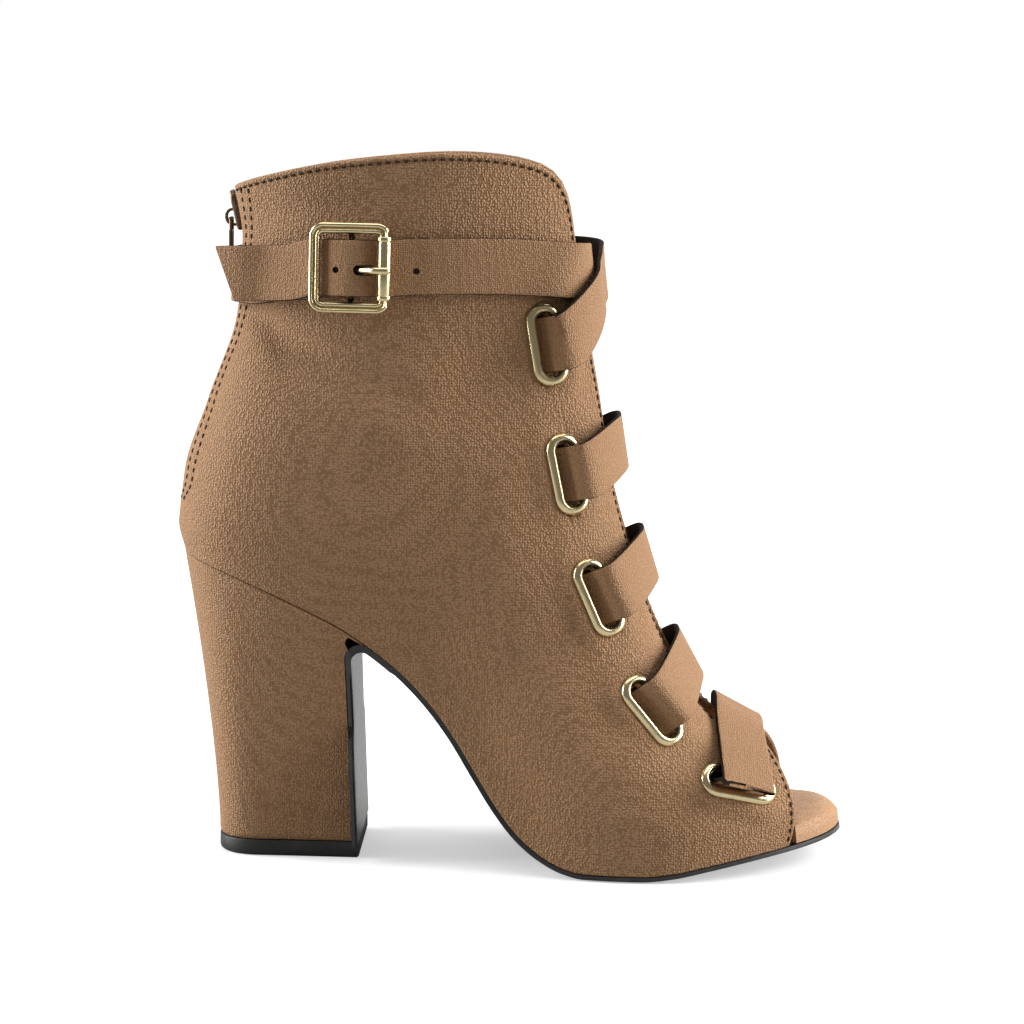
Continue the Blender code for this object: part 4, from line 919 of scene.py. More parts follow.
def makeHeel():
    base, count = heel["tipHigh"] + last["fit"], heel["around"]
    rings = []
    for h in np.concatenate(((0.0, 0.004, 0.012), np.linspace(0.03, 0.985, heel["levels"]),
                              (0.993, 0.998, 1.0))):
        front = float(breastX(base + h * 60)) - last["fit"]
        for _ in range(12):
            z = base + h * (float(soleZ(front)) - base)
            front = float(breastX(z)) - last["fit"]
            if z > topTurn[0, 1]:
                front = float(np.interp(z + last["fit"], topTurn[:, 1], topTurn[:, 0])) - last["fit"]
        front = min(front, topTurnEnd - 1.6)
        share = h ** heel["sweep"]
        line = tipPlan(front, count) * (1 - share) + seatPlan(front, count) * share
        z = base + h * (soleZ(line[:, 0]) - base)
        inset = 0.5 * max(0.0, 1 - h / 0.012) + 0.35 * max(0.0, (h - 0.99) / 0.01) ** 2
        line = line - unit(line - line.mean(axis=0)) * inset
        rings.append(np.column_stack((line, z)))
    ob = loft("heelCover", rings, [heelLeather])
    sharpen(ob, 50)
    return keep(ob, "boot", ["heel"])


def makeTopPiece():
    line = tipPlan(heel["breastLow"] + heel["sheet"], 140)
    mid = line.mean(axis=0)
    rings = []
    for z, inset in ((0.0, 1.1), (0.25, 0.6), (0.6, 0.2), (1.1, 0.0), (heel["tipHigh"] - 0.4, 0.0),
                     (heel["tipHigh"] - 0.1, 0.15), (heel["tipHigh"], 0.4)):
        ring = line - unit(line - mid) * inset
        rings.append(np.column_stack((ring, np.full(len(ring), z))))
    ob = loft("heelTip", rings, [tipRubber])
    sharpen(ob, 45)
    return keep(ob, "boot", ["top_piece"])


makeOutsole()
makeInsole()
makeHeel()
makeTopPiece()
print("soles and heel made")


# Lace and ankle straps: one flat strap, tan on its face, dark on its edges and underside

strap = {
    "wide": 17.0,
    "thick": 1.6,
    "reach": 3.6,            # middle of the lace in front of the throat edge
    "rise": 5.0,             # how far up the throat each arch climbs
    "tailCut": ((-22.4, 190.2), (-16.0, 173.6)),
    "levels": ((-16.0, 181.6), (0.0, 183.2), (20.0, 185.2), (35.0, 185.9), (50.0, 186.4), (67.0, 186.4),
               (78.0, 185.8), (88.0, 184.6)),
}
throatLine = edges[-1][1][edges[-1][1][:, 0] > last["throatFrom"]][::-1][:, (0, 2)]
throatAt = lengths(throatLine)


def throat(s):
    at = lambda q: np.array([np.interp(q, throatAt, throatLine[:, i]) for i in (0, 1)])
    here, along = at(s), unit(at(s + 2) - at(s - 2))
    return np.array((here[0], 0.0, here[1])), np.array((along[1], 0.0, -along[0]))


def beside(k):
    centre = eyelets[-1, k][0]
    return throatAt[np.argmin(np.hypot(throatLine[:, 0] - centre[0], throatLine[:, 1] - centre[2]))]


def overThroat(s, y, reach):
    edge, out = throat(s)
    return edge + (0.0, y, 0.0) + out * reach


def strandStart(side, k, s, reach, swell=4.6):
    centre, long, cross, out = eyelets[side, k]
    toward = cross if cross[0] > 0 else -cross
    lean = unit((0.0, -side * 0.62, 0.78))
    across = unit(np.cross(throat(s)[1], lean)) * side
    across = across if np.dot(across, long) > 0 else -across
    high = eyelet["high"]
    return [
        (centre - out * (last["wall"] + 3.0) - toward * 7.5, long),
        (centre - out * (last["wall"] + 1.9) - toward * 3.4, long),
        (centre - out * 0.9 - toward * 0.3, long),
        (centre + out * high + toward * 1.0, long),
        (centre + out * (high + 0.75 * swell) + toward * 2.4, long),
        (centre + out * (high + swell) + toward * 5.5, long),
        (overThroat(s, side * 11.0, reach), unit(long + across)),
    ], across


def smoothRows(rows, steps=8):
    return spline(np.array([np.concatenate((p, 6.0 * unit(w))) for p, w in rows]), steps)


def relax(path, upTo):
    # evens out the first part of a path, its ends held
    out = path.copy()
    for _ in range(14):
        out[1:upTo - 1] = 0.25 * out[:upTo - 2] + 0.5 * out[1:upTo - 1] + 0.25 * out[2:upTo]
    return out


def ribbon(name, path, wide, thick):
    # rounded flat section: first the tan face, which looks away from the boot, then edges and underside
    centre, across = path[:, :3], unit(path[:, 3:6])
    along = unit(np.gradient(centre, axis=0))
    across = unit(across - along * np.sum(across * along, -1, keepdims=True))
    face = np.cross(along, across)
    if np.sum(face * (centre - (20.0, 0.0, 40.0))) < 0:
        across, face = -across, -face
    e = 0.4 / (0.5 * wide)
    top = [(-1 + e * 0.4, 0.86), (-1 + e, 1.0), (-0.86, 1.0), (-0.7, 1.0), (-0.35, 1.0), (0.0, 1.0),
           (0.35, 1.0),
           (0.7, 1.0), (0.86, 1.0), (1 - e, 1.0), (1 - e * 0.4, 0.86)]
    section = top + [(1.0, 0.45), (1.0, -0.45), (1 - e, -1.0), (0.5, -1.0), (0.0, -1.0), (-0.5, -1.0),
                     (-1 + e, -1.0), (-1.0, -0.45), (-1.0, 0.45)]
    rings = [[c + a * (0.5 * wide * p) + f * (0.5 * thick * q) for p, q in section]
             for c, a, f in zip(centre, across, face)]
    kinds = ([0] * (len(top) - 1) + [1] * (len(section) - len(top) + 1)) * (len(rings) - 1) + [1, 1]
    ob = loft(name, rings, [strapLeather, underFelt], kinds=kinds)
    sharpen(ob, 55)
    return ob


def makeCrossing(k):
    # one arch over the throat, out of the outer eyelet and into the inner one
    at = beside(k) + strap["rise"]
    out = throat(at)[1]
    up = np.array((-out[2], 0.0, out[0]))
    swell = 6.2 if k == 4 else 4.6
    near, far = [strandStart(side, k, at, strap["reach"], swell)[0][:-1] for side in (-1, 1)]
    middle = [(overThroat(at, y, strap["reach"] + lift), up)
              for y, lift in ((-12.0, 0.5), (-5.0, 1.5), (5.0, 1.5), (12.0, 0.5))]
    path = smoothRows(near + middle + far[::-1])
    ob = ribbon(f"laceArch{k}", relax(path, len(path)), strap["wide"], strap["thick"])
    return keep(ob, "boot", [f"lace_crossing_{k}"])


def joined(name, parts):
    # several bodies as one mesh, materials by slot of the first
    points, faces, kinds, start = [], [], [], 0
    for part in parts:
        mesh = part.data
        flat = np.empty(3 * len(mesh.vertices))
        mesh.vertices.foreach_get("co", flat)
        points.append(flat.reshape(-1, 3) / mm)
        faces += [tuple(start + i for i in p.vertices) for p in mesh.polygons]
        kinds += [p.material_index for p in mesh.polygons]
        start += len(mesh.vertices)
    ob = makeMesh(name, np.concatenate(points), faces, list(parts[0].data.materials), kinds)
    for part in parts:
        bpy.data.objects.remove(part)
    return sharpen(ob, 50)


def belt(side, u, z, lift):
    wide = strap["wide"]
    v = np.linspace(0.25, 1.0, 46)
    line = skin(side, [u], v)[0]
    ends = [np.array([np.interp(q, line[:, 2], line[:, i]) for i in range(3)])
            for q in (z - 0.5 * wide, z, z + 0.5 * wide)]
    out = skinNormal(side, u, np.interp(z, line[:, 2], v))[0, 0]
    across = unit(ends[2] - ends[0])
    out = unit(out - across * np.dot(out, across))
    centre = 0.5 * (ends[0] + ends[2])
    return (centre + out * (max(0.0, np.dot(ends[1] - centre, out)) + lift + 0.5 * strap["thick"]),
            across, out)


def strapZ(x):
    return float(np.interp(x, column(strap["levels"], 0), column(strap["levels"], 1)))


def beltRows(side, places):
    return [belt(side, findSkin(side, x, strapZ(x))[0], strapZ(x), lift)[:2] for x, lift in places]


buckle = {
    "x": 20.9, "z": 185.4, "long": 25.2, "high": 27.2, "bar": 3.3, "level": 6.3, "barLevel": 3.4,
    "roller": 4.4, "prong": 2.0,
    "section": (             # inward from the frame's outer edge, height over its middle
        (0.0, -0.9), (0.0, 0.55), (0.12, 1.0), (0.45, 1.32), (0.85, 1.4), (1.2, 1.22), (1.45, 0.8), (1.65, 0.6),
        (1.85, 0.8), (2.1, 1.15), (2.45, 1.3), (2.85, 1.2), (3.15, 0.85), (3.3, 0.4), (3.3, -0.9), (3.0, -1.3),
        (2.4, -1.4), (0.9, -1.4), (0.3, -1.3)),
}
buckleAt, _, buckleOut = belt(-1, findSkin(-1, buckle["x"], buckle["z"])[0], buckle["z"], -0.5 * strap["thick"])
buckleUp = unit(np.array((0.0, 0.0, 1.0)) - buckleOut * buckleOut[2])
buckleAlong = unit(np.cross(buckleOut, buckleUp))
buckleAlong = buckleAlong * np.sign(buckleAlong[0])
buckleFrame = (buckleAt, buckleAlong, buckleUp, buckleOut)


def placed(where, p, q, h):
    base, along, up, out = where
    return base + along * p + up * q + out * h


def strapRowsB():
    rows, across = strandStart(-1, 0, beside(0) + 12.0, 5.3)
    rows.append((overThroat(beside(0) + 16.5, 0.0, 6.1), across))
    rows.append((overThroat(beside(0) + 20.0, 11.0, 7.8), (-0.1, 0.1, 1.0)))
    rows += beltRows(1, ((85.0, 8.2), (76.0, 5.6), (64.0, 1.6), (44.0, 0.4), (24.0, 0.4),
                        (8.0, 0.4), (-3.0, 0.4)))
    wrap = (0.135, 0.11, 0.088, 0.066, 0.046, 0.03, 0.015)
    for side, u in [(1, u) for u in wrap] + [(-1, 0.0)] + [(-1, u) for u in wrap[::-1]]:
        rows.append(belt(side, u, strapZ(-15.0), 0.6)[:2])
    rows += beltRows(-1, ((-3.0, 0.4), (3.0, 0.4), (7.6, 0.6)))
    for p, h in ((-8.6, 2.0), (-4.6, 4.6), (-1.6, 5.6), (0.6, 5.55), (2.0, 4.6), (2.4, 3.3),
                 (1.7, 1.9), (0.0, 1.25), (-2.6, 1.2), (-4.6, 1.2)):
        rows.append((placed(buckleFrame, p, 0.0, h), buckleUp))
    return rows


def strapRowsA():
    rows, across = strandStart(1, 0, beside(0) + 10.5, 3.5, 2.6)
    rows.append((overThroat(beside(0) + 18.0, 0.0, 3.6), across))
    rows.append((overThroat(beside(0) + 21.0, -10.0, 3.4), (-0.1, -0.1, 1.0)))
    rows += beltRows(-1, ((85.0, 2.6), (76.0, 0.9), (66.0, 0.6), (54.0, 0.6), (44.0, 0.6), (37.0, 0.6)))
    for p, h in ((10.2, 1.6), (7.4, 4.0), (4.0, 6.7), (0.0, 7.7), (-4.0, 6.9), (-7.4, 5.0),
                 (-9.4, 3.95), (-12.4, 3.2)):
        rows.append((placed(buckleFrame, p, 0.0, h), buckleUp))
    rows += beltRows(-1, ((3.0, 2.5), (-5.0, 2.9)))
    end = rows[-1][0]
    for dx, dy, dz in ((-7.5, 1.7, -0.3), (-13.5, 4.0, -0.6), (-18.8, 7.0, -1.0)):
        rows.append((end + (dx, dy, dz), (0.05, 0.0, 1.0)))
    return rows


def punch(p, long, wide):
    line, _ = stadium(long, wide, 12)
    rings = [[placed(buckleFrame, p + a, b - 0.6, h) for a, b in line] for h in (-3.0, 14.0)]
    ob = loft("cut", rings, [strapLeather, underFelt])
    ob.data.polygons.foreach_set("material_index", np.ones(len(ob.data.polygons), np.int32))
    return ob


def makeStraps():
    inner = ribbon("ankleStrapInner", relax(smoothRows(strapRowsB()), 96), strap["wide"], 1.4)
    drill(inner, [punch(0.4, 8.6, 3.6)])
    keep(sharpen(inner, 50), "boot", ["ankle_strap_inner"])
    outer = ribbon("ankleStrapOuter", relax(smoothRows(strapRowsA()), 96), strap["wide"], strap["thick"])
    (x1, z1), (x2, z2) = strap["tailCut"]
    ends = ((x1, z1 + 4.0), (x1, z1), (x2, z2), (x2, z2 - 4.0), (x1 - 30.0, z2 - 4.0), (x1 - 30.0, z1 + 4.0))
    tail = loft("cut", [[(x, y, z) for x, z in ends] for y in (-45.0, 0.0)], [strapLeather, underFelt])
    tail.data.polygons.foreach_set("material_index", np.ones(len(tail.data.polygons), np.int32))
    drill(outer, [punch(4.6, 6.6, 3.2), tail, punch(-4.2, 2.0, 1.98), punch(19.2, 2.0, 1.98)])
    keep(sharpen(outer, 50), "boot", ["ankle_strap_outer"])


for k in (4, 3, 2, 1):
    makeCrossing(k)
makeStraps()
print("lace and straps made")


# Buckle

def rod(name, points, radius, mat, around=20):
    # round bar; radius may follow the points
    points = np.asarray(points, float)
    radius = np.broadcast_to(radius, len(points))
    along = unit(np.gradient(points, axis=0))
    a = np.cross(along[0], (0.31, 0.2, 0.93))
    rings = []
    for p, t, r in zip(points, along, radius):
        a = unit(a - t * np.dot(a, t))
        b = np.cross(t, a)
        rings.append([p + r * (a * np.cos(w) + b * np.sin(w))
                      for w in np.linspace(0, 2 * np.pi, around, endpoint=False)])
    return loft(name, rings, [mat])


def makeBuckle():
    halfL, halfH, r = 0.5 * buckle["long"], 0.5 * buckle["high"], 4.4
    rings = []
    for cx, cy, start in ((halfL - r, halfH - r, 0.0), (r - halfL, halfH - r, 0.5),
                          (r - halfL, r - halfH, 1.0), (halfL - r, r - halfH, 1.5)):
        for t in np.linspace(start * np.pi, (start + 0.5) * np.pi, 12):
            x, y, nx, ny = cx + r * np.cos(t), cy + r * np.sin(t), np.cos(t), np.sin(t)
            right = float(smoothStep((x - halfL + 1.0) / 0.9))
            scale = 1 - right * 0.27
            rings.append([placed(buckleFrame, x - nx * (right + s * scale), y - ny * (right + s * scale),
                                 buckle["level"] + h)
                          for s, h in buckle["section"]])
    ring = loft("ring", rings, [goldMetal], closed=True)
    edge, level, low = halfH - 0.5 * buckle["bar"], buckle["level"], buckle["barLevel"]
    line = [placed(buckleFrame, 0.0, q, h) for q, h in (
        (-edge, level), (1.3 - edge, level - 0.9), (2.4 - edge, low + 0.5), (3.4 - edge, low),
        (edge - 3.4, low),
        (edge - 2.4, low + 0.5), (edge - 1.3, level - 0.9), (edge, level))]
    ob = joined("buckleRing", [ring, rod("bar", spline(line, 5), 1.1, goldMetal)])
    keep(ob, "boot", ["buckle_frame"])
    x = halfL - 2.2
    shape = ((-9.6, 1.5), (-9.58, 1.95), (-9.35, 2.18), (-8.35, 2.2), (-8.15, 2.1), (-8.05, 1.88), (-7.9, 1.95),
             (-7.7, 2.02),
             (7.7, 2.02), (7.9, 1.95), (8.05, 1.88), (8.15, 2.1), (8.35, 2.2), (9.35, 2.18),
             (9.58, 1.95), (9.6, 1.5))
    roller = [[placed(buckleFrame, x + q * np.cos(t), p, level + q * np.sin(t))
               for t in np.linspace(0, 2 * np.pi, 40, endpoint=False)] for p, q in shape]
    ob = sharpen(loft("buckleTube", roller, [goldMetal]), 50)
    keep(ob, "boot", ["buckle_roller"])
    line = [placed(buckleFrame, 2.25 * np.cos(math.radians(t)), -0.6, low + 2.25 * np.sin(math.radians(t)))
            for t in np.linspace(-250.0, 70.0, 24)]
    reach, top = halfL - 1.4, level + 0.5 * buckle["roller"] + 0.3 + 0.5 * buckle["prong"]
    for p, h in ((2.4, 6.2), (5.0, 7.5), (8.0, top - 0.1), (reach, top), (reach + 1.0, top - 0.1),
                 (reach + 1.6, top - 0.2)):
        line.append(placed(buckleFrame, p, -0.6, h))
    line = spline(line, 3)
    far = np.linalg.norm(line - line[-1], axis=1)
    tip = 1.15 * np.sqrt(np.clip(1 - (1 - far / 1.1).clip(0, 1) ** 2, 0.02, 1))
    ob = sharpen(rod("bucklePin", line, tip, goldMetal), 50)
    keep(ob, "boot", ["buckle_prong"])


makeBuckle()
print("buckle made")


# Zip

zipper = {
    "end": 113.0, "top": 207.6, "tape": 16.0, "tapeDeep": 0.75, "tapeThick": 0.7,
    "pitch": 1.5, "slider": (12.4, 8.4, 1.4), "pull": 21.0, "hingeUp": -2.2, "hingeOut": 3.15,
    "sliderAt": 201.6,
}


def between(at, known, rows):
    return np.stack([np.interp(at, known, rows[:, i]) for i in range(3)], -1)


def backLine(z, depth):
    v = np.linspace(0.02, 1.0, 80)
    line, out = skin(-1, [0.0], v)[0], skinNormal(-1, 0.0, v)[0]
    vz = np.interp(z, line[:, 2], v)
    at = between(vz, v, line)
    face = unit(between(vz, v, out))
    at[:, 1], face[:, 1] = 0.0, 0.0
    return at - face * depth, unit(face)


def makeTape():
    z = np.linspace(zipper["end"] - 5.0, zipper["top"], 60)
    v, us = np.linspace(0.02, 1.0, 60), np.linspace(0.0, 0.16, 17)
    sheets = {side: skin(side, us, v) for side in (-1, 1)}
    faces = {side: skinNormal(side, us, v) for side in (-1, 1)}
    grids = []
    for depth in (last["wall"] + zipper["tapeDeep"], last["wall"] + zipper["tapeDeep"] + zipper["tapeThick"]):
        columns = []
        for y in np.linspace(-0.5, 0.5, 25) * zipper["tape"]:
            side = -1 if y < 0 else 1
            sheet, normal, line = sheets[side], faces[side], []
            for height in z:
                j = np.interp(height, sheet[0][:, 2], np.arange(len(v)))
                row = np.array([[np.interp(height, s[:, 2], s[:, i]) for i in range(3)] for s in sheet])
                u = np.interp(abs(y), np.abs(row[:, 1]), np.arange(len(us)))
                p = np.array([np.interp(u, np.arange(len(us)), row[:, i]) for i in range(3)])
                n = normal[int(round(u)), int(round(j))]
                line.append(p - n * depth)
            columns.append(line)
        grids.append(np.array(columns).transpose(1, 0, 2))
    ob = sheetBody("zipTape", grids[0], grids[1], zipCloth, 0.6)
    keep(ob, "boot", ["zip_tape"])


def lineTree(name):
    # sets an item along lines at a pitch, turned to the line and to its stored face direction
    tree = bpy.data.node_groups.new(name, "GeometryNodeTree")
    face = tree.interface
    face.new_socket("Lines", in_out="INPUT", socket_type="NodeSocketGeometry")
    pitch = face.new_socket("Pitch", in_out="INPUT", socket_type="NodeSocketFloat")
    item = face.new_socket("Item", in_out="INPUT", socket_type="NodeSocketObject")
    mat = face.new_socket("Finish", in_out="INPUT", socket_type="NodeSocketMaterial")
    face.new_socket("Geometry", in_out="OUTPUT", socket_type="NodeSocketGeometry")
    add, link = tree.nodes.new, tree.links.new
    given, made = add("NodeGroupInput"), add("NodeGroupOutput")
    curve, steps = add("GeometryNodeMeshToCurve"), add("GeometryNodeResampleCurve")
    info = add("GeometryNodeObjectInfo")
    steps.mode = "LENGTH"
    tangent, stored = add("GeometryNodeInputTangent"), add("GeometryNodeInputNamedAttribute")
    stored.data_type = "FLOAT_VECTOR"
    stored.inputs["Name"].default_value = "face"
    first, second = add("FunctionNodeAlignRotationToVector"), add("FunctionNodeAlignRotationToVector")
    first.axis, second.axis, second.pivot_axis = "Z", "X", "Z"
    spread, real = add("GeometryNodeInstanceOnPoints"), add("GeometryNodeRealizeInstances")
    dress = add("GeometryNodeSetMaterial")
    link(given.outputs["Lines"], curve.inputs["Mesh"])
    link(curve.outputs["Curve"], steps.inputs["Curve"])
    link(given.outputs["Pitch"], steps.inputs["Length"])
    link(given.outputs["Item"], info.inputs["Object"])
    link(tangent.outputs["Tangent"], first.inputs["Vector"])
    link(first.outputs["Rotation"], second.inputs["Rotation"])
    link(stored.outputs["Attribute"], second.inputs["Vector"])
    link(steps.outputs["Curve"], spread.inputs["Points"])
    link(info.outputs["Geometry"], spread.inputs["Instance"])
    link(second.outputs["Rotation"], spread.inputs["Rotation"])
    link(spread.outputs["Instances"], real.inputs["Geometry"])
    link(real.outputs["Geometry"], dress.inputs["Geometry"])
    link(given.outputs["Finish"], dress.inputs["Material"])
    link(dress.outputs["Geometry"], made.inputs["Geometry"])
    return tree, {"pitch": pitch.identifier, "item": item.identifier, "finish": mat.identifier}


lineGroup, lineInputs = lineTree("alongLines")


def alongLines(name, lines, item, pitch, mat):
    # lines: pairs of points and face directions
    mesh = bpy.data.meshes.new(name)
    points = np.concatenate([p for p, n in lines]) * mm
    starts = np.cumsum([0] + [len(p) for p, n in lines])
    links = [(i, i + 1) for a, b in zip(starts[:-1], starts[1:]) for i in range(a, b - 1)]
    mesh.from_pydata(points.tolist(), links, [])
    stored = mesh.attributes.new("face", "FLOAT_VECTOR", "POINT")
    stored.data.foreach_set("vector", np.concatenate([n for p, n in lines]).ravel())
    ob = bpy.data.objects.new(name, mesh)
    scene.collection.objects.link(ob)
    mod = ob.modifiers.new("spread", "NODES")
    mod.node_group = lineGroup
    mod[lineInputs["pitch"]] = pitch * mm
    mod[lineInputs["item"]] = item
    mod[lineInputs["finish"]] = mat
    applied(ob)
    bpy.data.objects.remove(item)
    ob.data.polygons.foreach_set("use_smooth", np.ones(len(ob.data.polygons), bool))
    if "face" in ob.data.attributes:
        ob.data.attributes.remove(ob.data.attributes["face"])
    return ob


def capsule(long, radius, flat=0.8):
    # one stitch lying along z, flattened toward its face
    shape = [(-0.5, 0.25), (-0.44, 0.72), (-0.25, 1.0), (0.25, 1.0), (0.44, 0.72), (0.5, 0.25)]
    rings = [[(q * radius * flat * np.cos(t), q * radius * np.sin(t), s * long)
              for t in np.linspace(0, 2 * np.pi, 10, endpoint=False)] for s, q in shape]
    return loft("item", rings, [threadMat])


def rimStitches():
    lines = []
    for side in (-1, 1):
        u = np.linspace(slotStart(side, np.array([0.99]))[0] + 0.02,
                        1 - upper["stitchIn"] / upper["girth"], 260)
        foot, top = ribEnds(side, u)
        v = 1 - upper["stitchIn"] / (np.linalg.norm(top - foot, axis=1) * upper["ribLong"])
        p = skin(side, u, v[:, None], upper["folds"])[:, 0]
        n = np.array([skinNormal(side, a, b)[0, 0] for a, b in zip(u, v)])
        down = np.linspace(v[-1], 0.06, 60)
        q = skin(side, u[-1:], down, upper["folds"])[0]
        m = skinNormal(side, u[-1], down)[0]
        lines += [(p + n * 0.02, n), (q + m * 0.02, m)]
        z = np.linspace(upper["slotEnd"] - 1.0, 207.5, 110)
        low = np.linspace(0.05, 1.0, 90)
        for at in upper["bindingIn"]:
            start = slotStart(side, low)
            p = np.array([skin(side, [s + at / upper["girth"]], [b], upper["folds"])[0, 0]
                          for s, b in zip(start, low)])
            n = np.array([skinNormal(side, s + at / upper["girth"], b)[0, 0] for s, b in zip(start, low)])
            p, n = between(z, p[:, 2], p), between(z, p[:, 2], n)
            lines.append((p + n * 0.02, unit(n)))
    ob = alongLines("edgeStitches", lines, capsule(1.55, 0.4), 2.75, threadMat)
    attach(ob, "boot")


def tooth():
    # one cast tooth reaching over the middle of the zip along x
    profile = [(-1.5, 0.4), (-0.2, 0.4), (0.5, 0.26), (1.35, 0.3), (1.5, 0.18), (1.5, -0.18), (1.35, -0.3),
            (0.5, -0.26),
             (-0.2, -0.4), (-1.5, -0.4)]
    rings = [[(a * s, y, b * s) for a, b in profile]
             for y, s in ((-0.75, 0.9), (-0.6, 1.0), (0.6, 1.0), (0.75, 0.9))]
    return loft("item", rings, [zipMetal])


def makeTeeth():
    lines = []
    for side, shift in ((-1, 0.0), (1, 0.5)):
        z = np.linspace(zipper["end"] + 0.6 + shift * zipper["pitch"], zipper["top"], 80)
        p, face = backLine(z, 0.95)
        lines.append((p + (0.0, side * 0.85, 0.0), np.tile((0.0, -side * 1.0, 0.0), (len(z), 1))))
    ob = alongLines("zipTeeth", lines, tooth(), zipper["pitch"], zipMetal)
    sharpen(ob, 40)
    keep(ob, "boot", ["zip_teeth"])


zipBase, zipOut = [a[0] for a in backLine(np.array([zipper["sliderAt"]]), 0.0)]
zipFrame = (zipBase, np.array((0.0, 1.0, 0.0)), np.array((zipOut[2], 0.0, -zipOut[0])), zipOut)


def makeSlider():
    high, wide, thick = zipper["slider"]
    half, low, top = 0.5 * high, 0.4, 0.4 + thick
    line = np.array([(-2.6, half), (2.6, half), (0.5 * wide, half - 2.0), (0.5 * wide - 0.5, 0.0),
                     (3.0, -half + 0.6),
                     (2.4, -half), (-2.4, -half), (-3.0, -half + 0.6), (-0.5 * wide + 0.5, 0.0),
                     (-0.5 * wide, half - 2.0)])
    line = shares(np.vstack((spline(np.vstack((line, line[:1])), 6), line[:1])),
                  np.linspace(0, 1, 60, endpoint=False))
    body = loft("body", [[placed(zipFrame, a * k, b * k, h) for a, b in line]
                         for h, k in ((low, 0.97), (low + 0.15, 1.0), (top - 0.45, 1.0),
                                      (top - 0.15, 0.96), (top, 0.88))], [zipMetal])
    path = spline([(0.4, top - 0.5), (0.3, top + 1.5), (-0.8, top + 2.6), (-2.8, top + 2.7),
                   (-4.0, top + 1.8),
                   (-4.6, top - 0.5)], 6)
    t = unit(np.gradient(path, axis=0))
    rings = []
    for (b, h), (tb, th) in zip(path, t):
        rings.append([placed(zipFrame, y, b - th * s, h + tb * s)
                      for y, s in ((-1.0, -0.3), (-0.85, -0.45), (0.85, -0.45), (1.0, -0.3), (1.0, 0.3),
                                       (0.85, 0.45),
                                   (-0.85, 0.45), (-1.0, 0.3))])
    ob = joined("zipRunner", [body, loft("bridge", rings, [zipMetal])])
    sharpen(ob, 45)
    keep(ob, "boot", ["zip_slider"])


def makePull():
    pin = placed(zipFrame, 0.0, zipper["hingeUp"], zipper["hingeOut"])
    bar = rod("bar", [pin + (0.0, y, 0.0) for y in (-2.7, -2.5, 2.5, 2.7)], [0.4, 0.55, 0.55, 0.4], zipMetal)
    parts = [bar]
    for side in (-1, 1):
        parts.append(rod("arm", [pin + (0.0, side * 2.15, -d) for d in np.linspace(0.0, 4.6, 5)],
                         0.53, zipMetal, 14))
    end = zipper["pull"]
    line = [(-2.5, 0.0), (-2.7, 0.3), (-2.2, end - 6.4), (-1.9, end - 4.6), (-1.2, end - 3.7),
            (0.0, end - 3.6),
            (1.2, end - 3.7), (1.9, end - 4.6), (2.2, end - 6.4), (2.7, 0.3), (2.5, 0.0)]
    rings = [[pin + (x, a * k, -3.6 - b - (0.15 if k < 1 else 0.0) * (1 if b < 1 else -1)) for a, b in line]
             for x, k in ((-0.5, 0.93), (-0.36, 1.0), (0.36, 1.0), (0.5, 0.93))]
    parts.append(loft("plate", rings, [zipMetal]))
    ob = joined("zipTab", parts)
    sharpen(ob, 45)
    keep(ob, "pull", ["zip_pull"])


makeTape()
makeTeeth()
makeSlider()
makePull()
rimStitches()
print("zip and stitches made")


# Floor, lights and camera

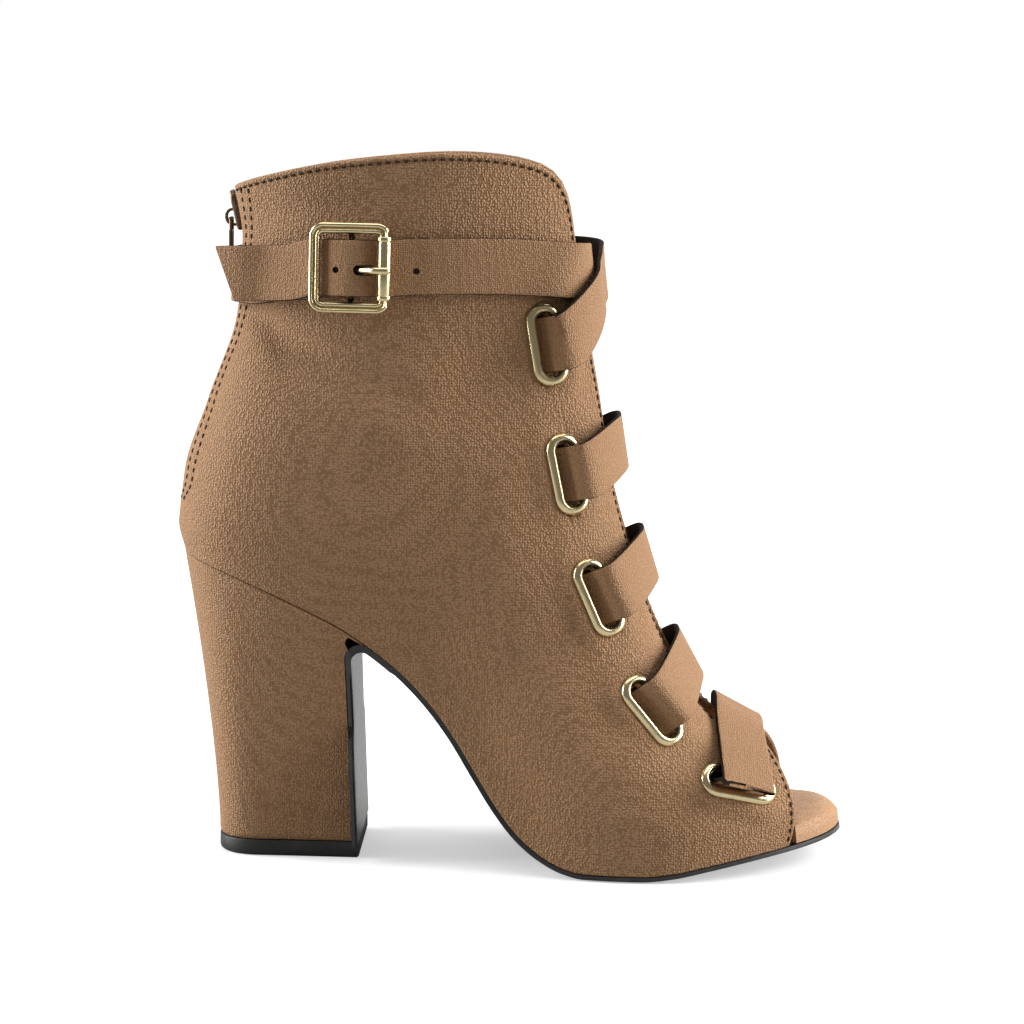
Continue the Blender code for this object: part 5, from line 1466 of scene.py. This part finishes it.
def makeFloor():
    mat, tree, shader = newMaterial("studioWhite", 0.6)
    shader.inputs["Emission Color"].default_value = (1.0, 1.0, 1.0, 1.0)
    away = tree.nodes.new("ShaderNodeVectorMath")
    away.operation = "LENGTH"
    tree.links.new(tree.nodes.new("ShaderNodeTexCoord").outputs["Object"], away.inputs[0])
    glow = ramp(tree, away.outputs["Value"], 0.18, 0.6, 0.45, 1.1)
    seen = tree.nodes.new("ShaderNodeLightPath").outputs["Is Camera Ray"]
    tree.links.new(mathNode(tree, "MULTIPLY", glow, seen), shader.inputs["Emission Strength"])
    tree.links.new(mixColour(tree, (0.4, 0.4, 0.4), (0.62, 0.62, 0.625), seen), shader.inputs["Base Color"])
    shader.inputs["Specular IOR Level"].default_value = 0.1
    ob = makeMesh("studioFloor", [(-6000, -3000, -0.05), (6000, -3000, -0.05), (6000, 9000, -0.05),
                                    (-6000, 9000, -0.05)],
                  [(0, 1, 2, 3)], [mat])


def addLight(name, place, aim, size, power, shape=(1.0, 1.0)):
    data = bpy.data.lights.new(name, "AREA")
    data.shape, data.size, data.size_y, data.energy = "RECTANGLE", size[0] * mm, size[1] * mm, power
    ob = bpy.data.objects.new(name, data)
    ob.location = Vector(place) * mm
    ob.rotation_euler = (Vector(aim) - Vector(place)).to_track_quat("-Z", "Y").to_euler()
    scene.collection.objects.link(ob)


def makeWorld():
    world = bpy.data.worlds.new("whiteStudio")
    scene.world = world
    world.use_nodes = True
    tree = world.node_tree
    back = tree.nodes["Background"]
    path = tree.nodes.new("ShaderNodeLightPath")
    strength = tree.nodes.new("ShaderNodeMapRange")
    tree.links.new(path.outputs["Is Camera Ray"], strength.inputs["Value"])
    strength.inputs["To Min"].default_value = 0.19
    strength.inputs["To Max"].default_value = 1.0
    tree.links.new(strength.outputs["Result"], back.inputs["Strength"])
    back.inputs["Color"].default_value = (1.0, 1.0, 1.0, 1.0)


def makeCamera():
    data = bpy.data.cameras.new("frontView")
    data.lens, data.sensor_width, data.clip_start = camera["lens"], 36.0, 0.01
    ob = bpy.data.objects.new("frontView", data)
    forward = unit(np.subtract(camera["aim"], camera["place"]))
    right = unit(np.cross(forward, (0, 0, 1)))
    up = np.cross(right, forward)
    c, s = math.cos(math.radians(camera["roll"])), math.sin(math.radians(camera["roll"]))
    axes = np.column_stack((right * c + up * s, up * c - right * s, -forward))
    ob.matrix_world = Matrix.Translation(Vector(camera["place"]) * mm) @ Matrix(axes.tolist()).to_4x4()
    scene.collection.objects.link(ob)
    scene.camera = ob


makeFloor()
makeWorld()
makeCamera()
addLight("leftBox", (-1000, 30, 420), (30, 0, 100), (700, 900), 22)
addLight("rightBox", (1050, -20, 450), (90, 0, 80), (700, 900), 22)
addLight("topBox", (60, 100, 1100), (70, 0, 60), (1000, 900), 7)
addLight("backBox", (60, 1500, 700), (60, 300, 0), (2000, 900), 8)
scene.view_settings.view_transform = "Standard"
print("stage set")
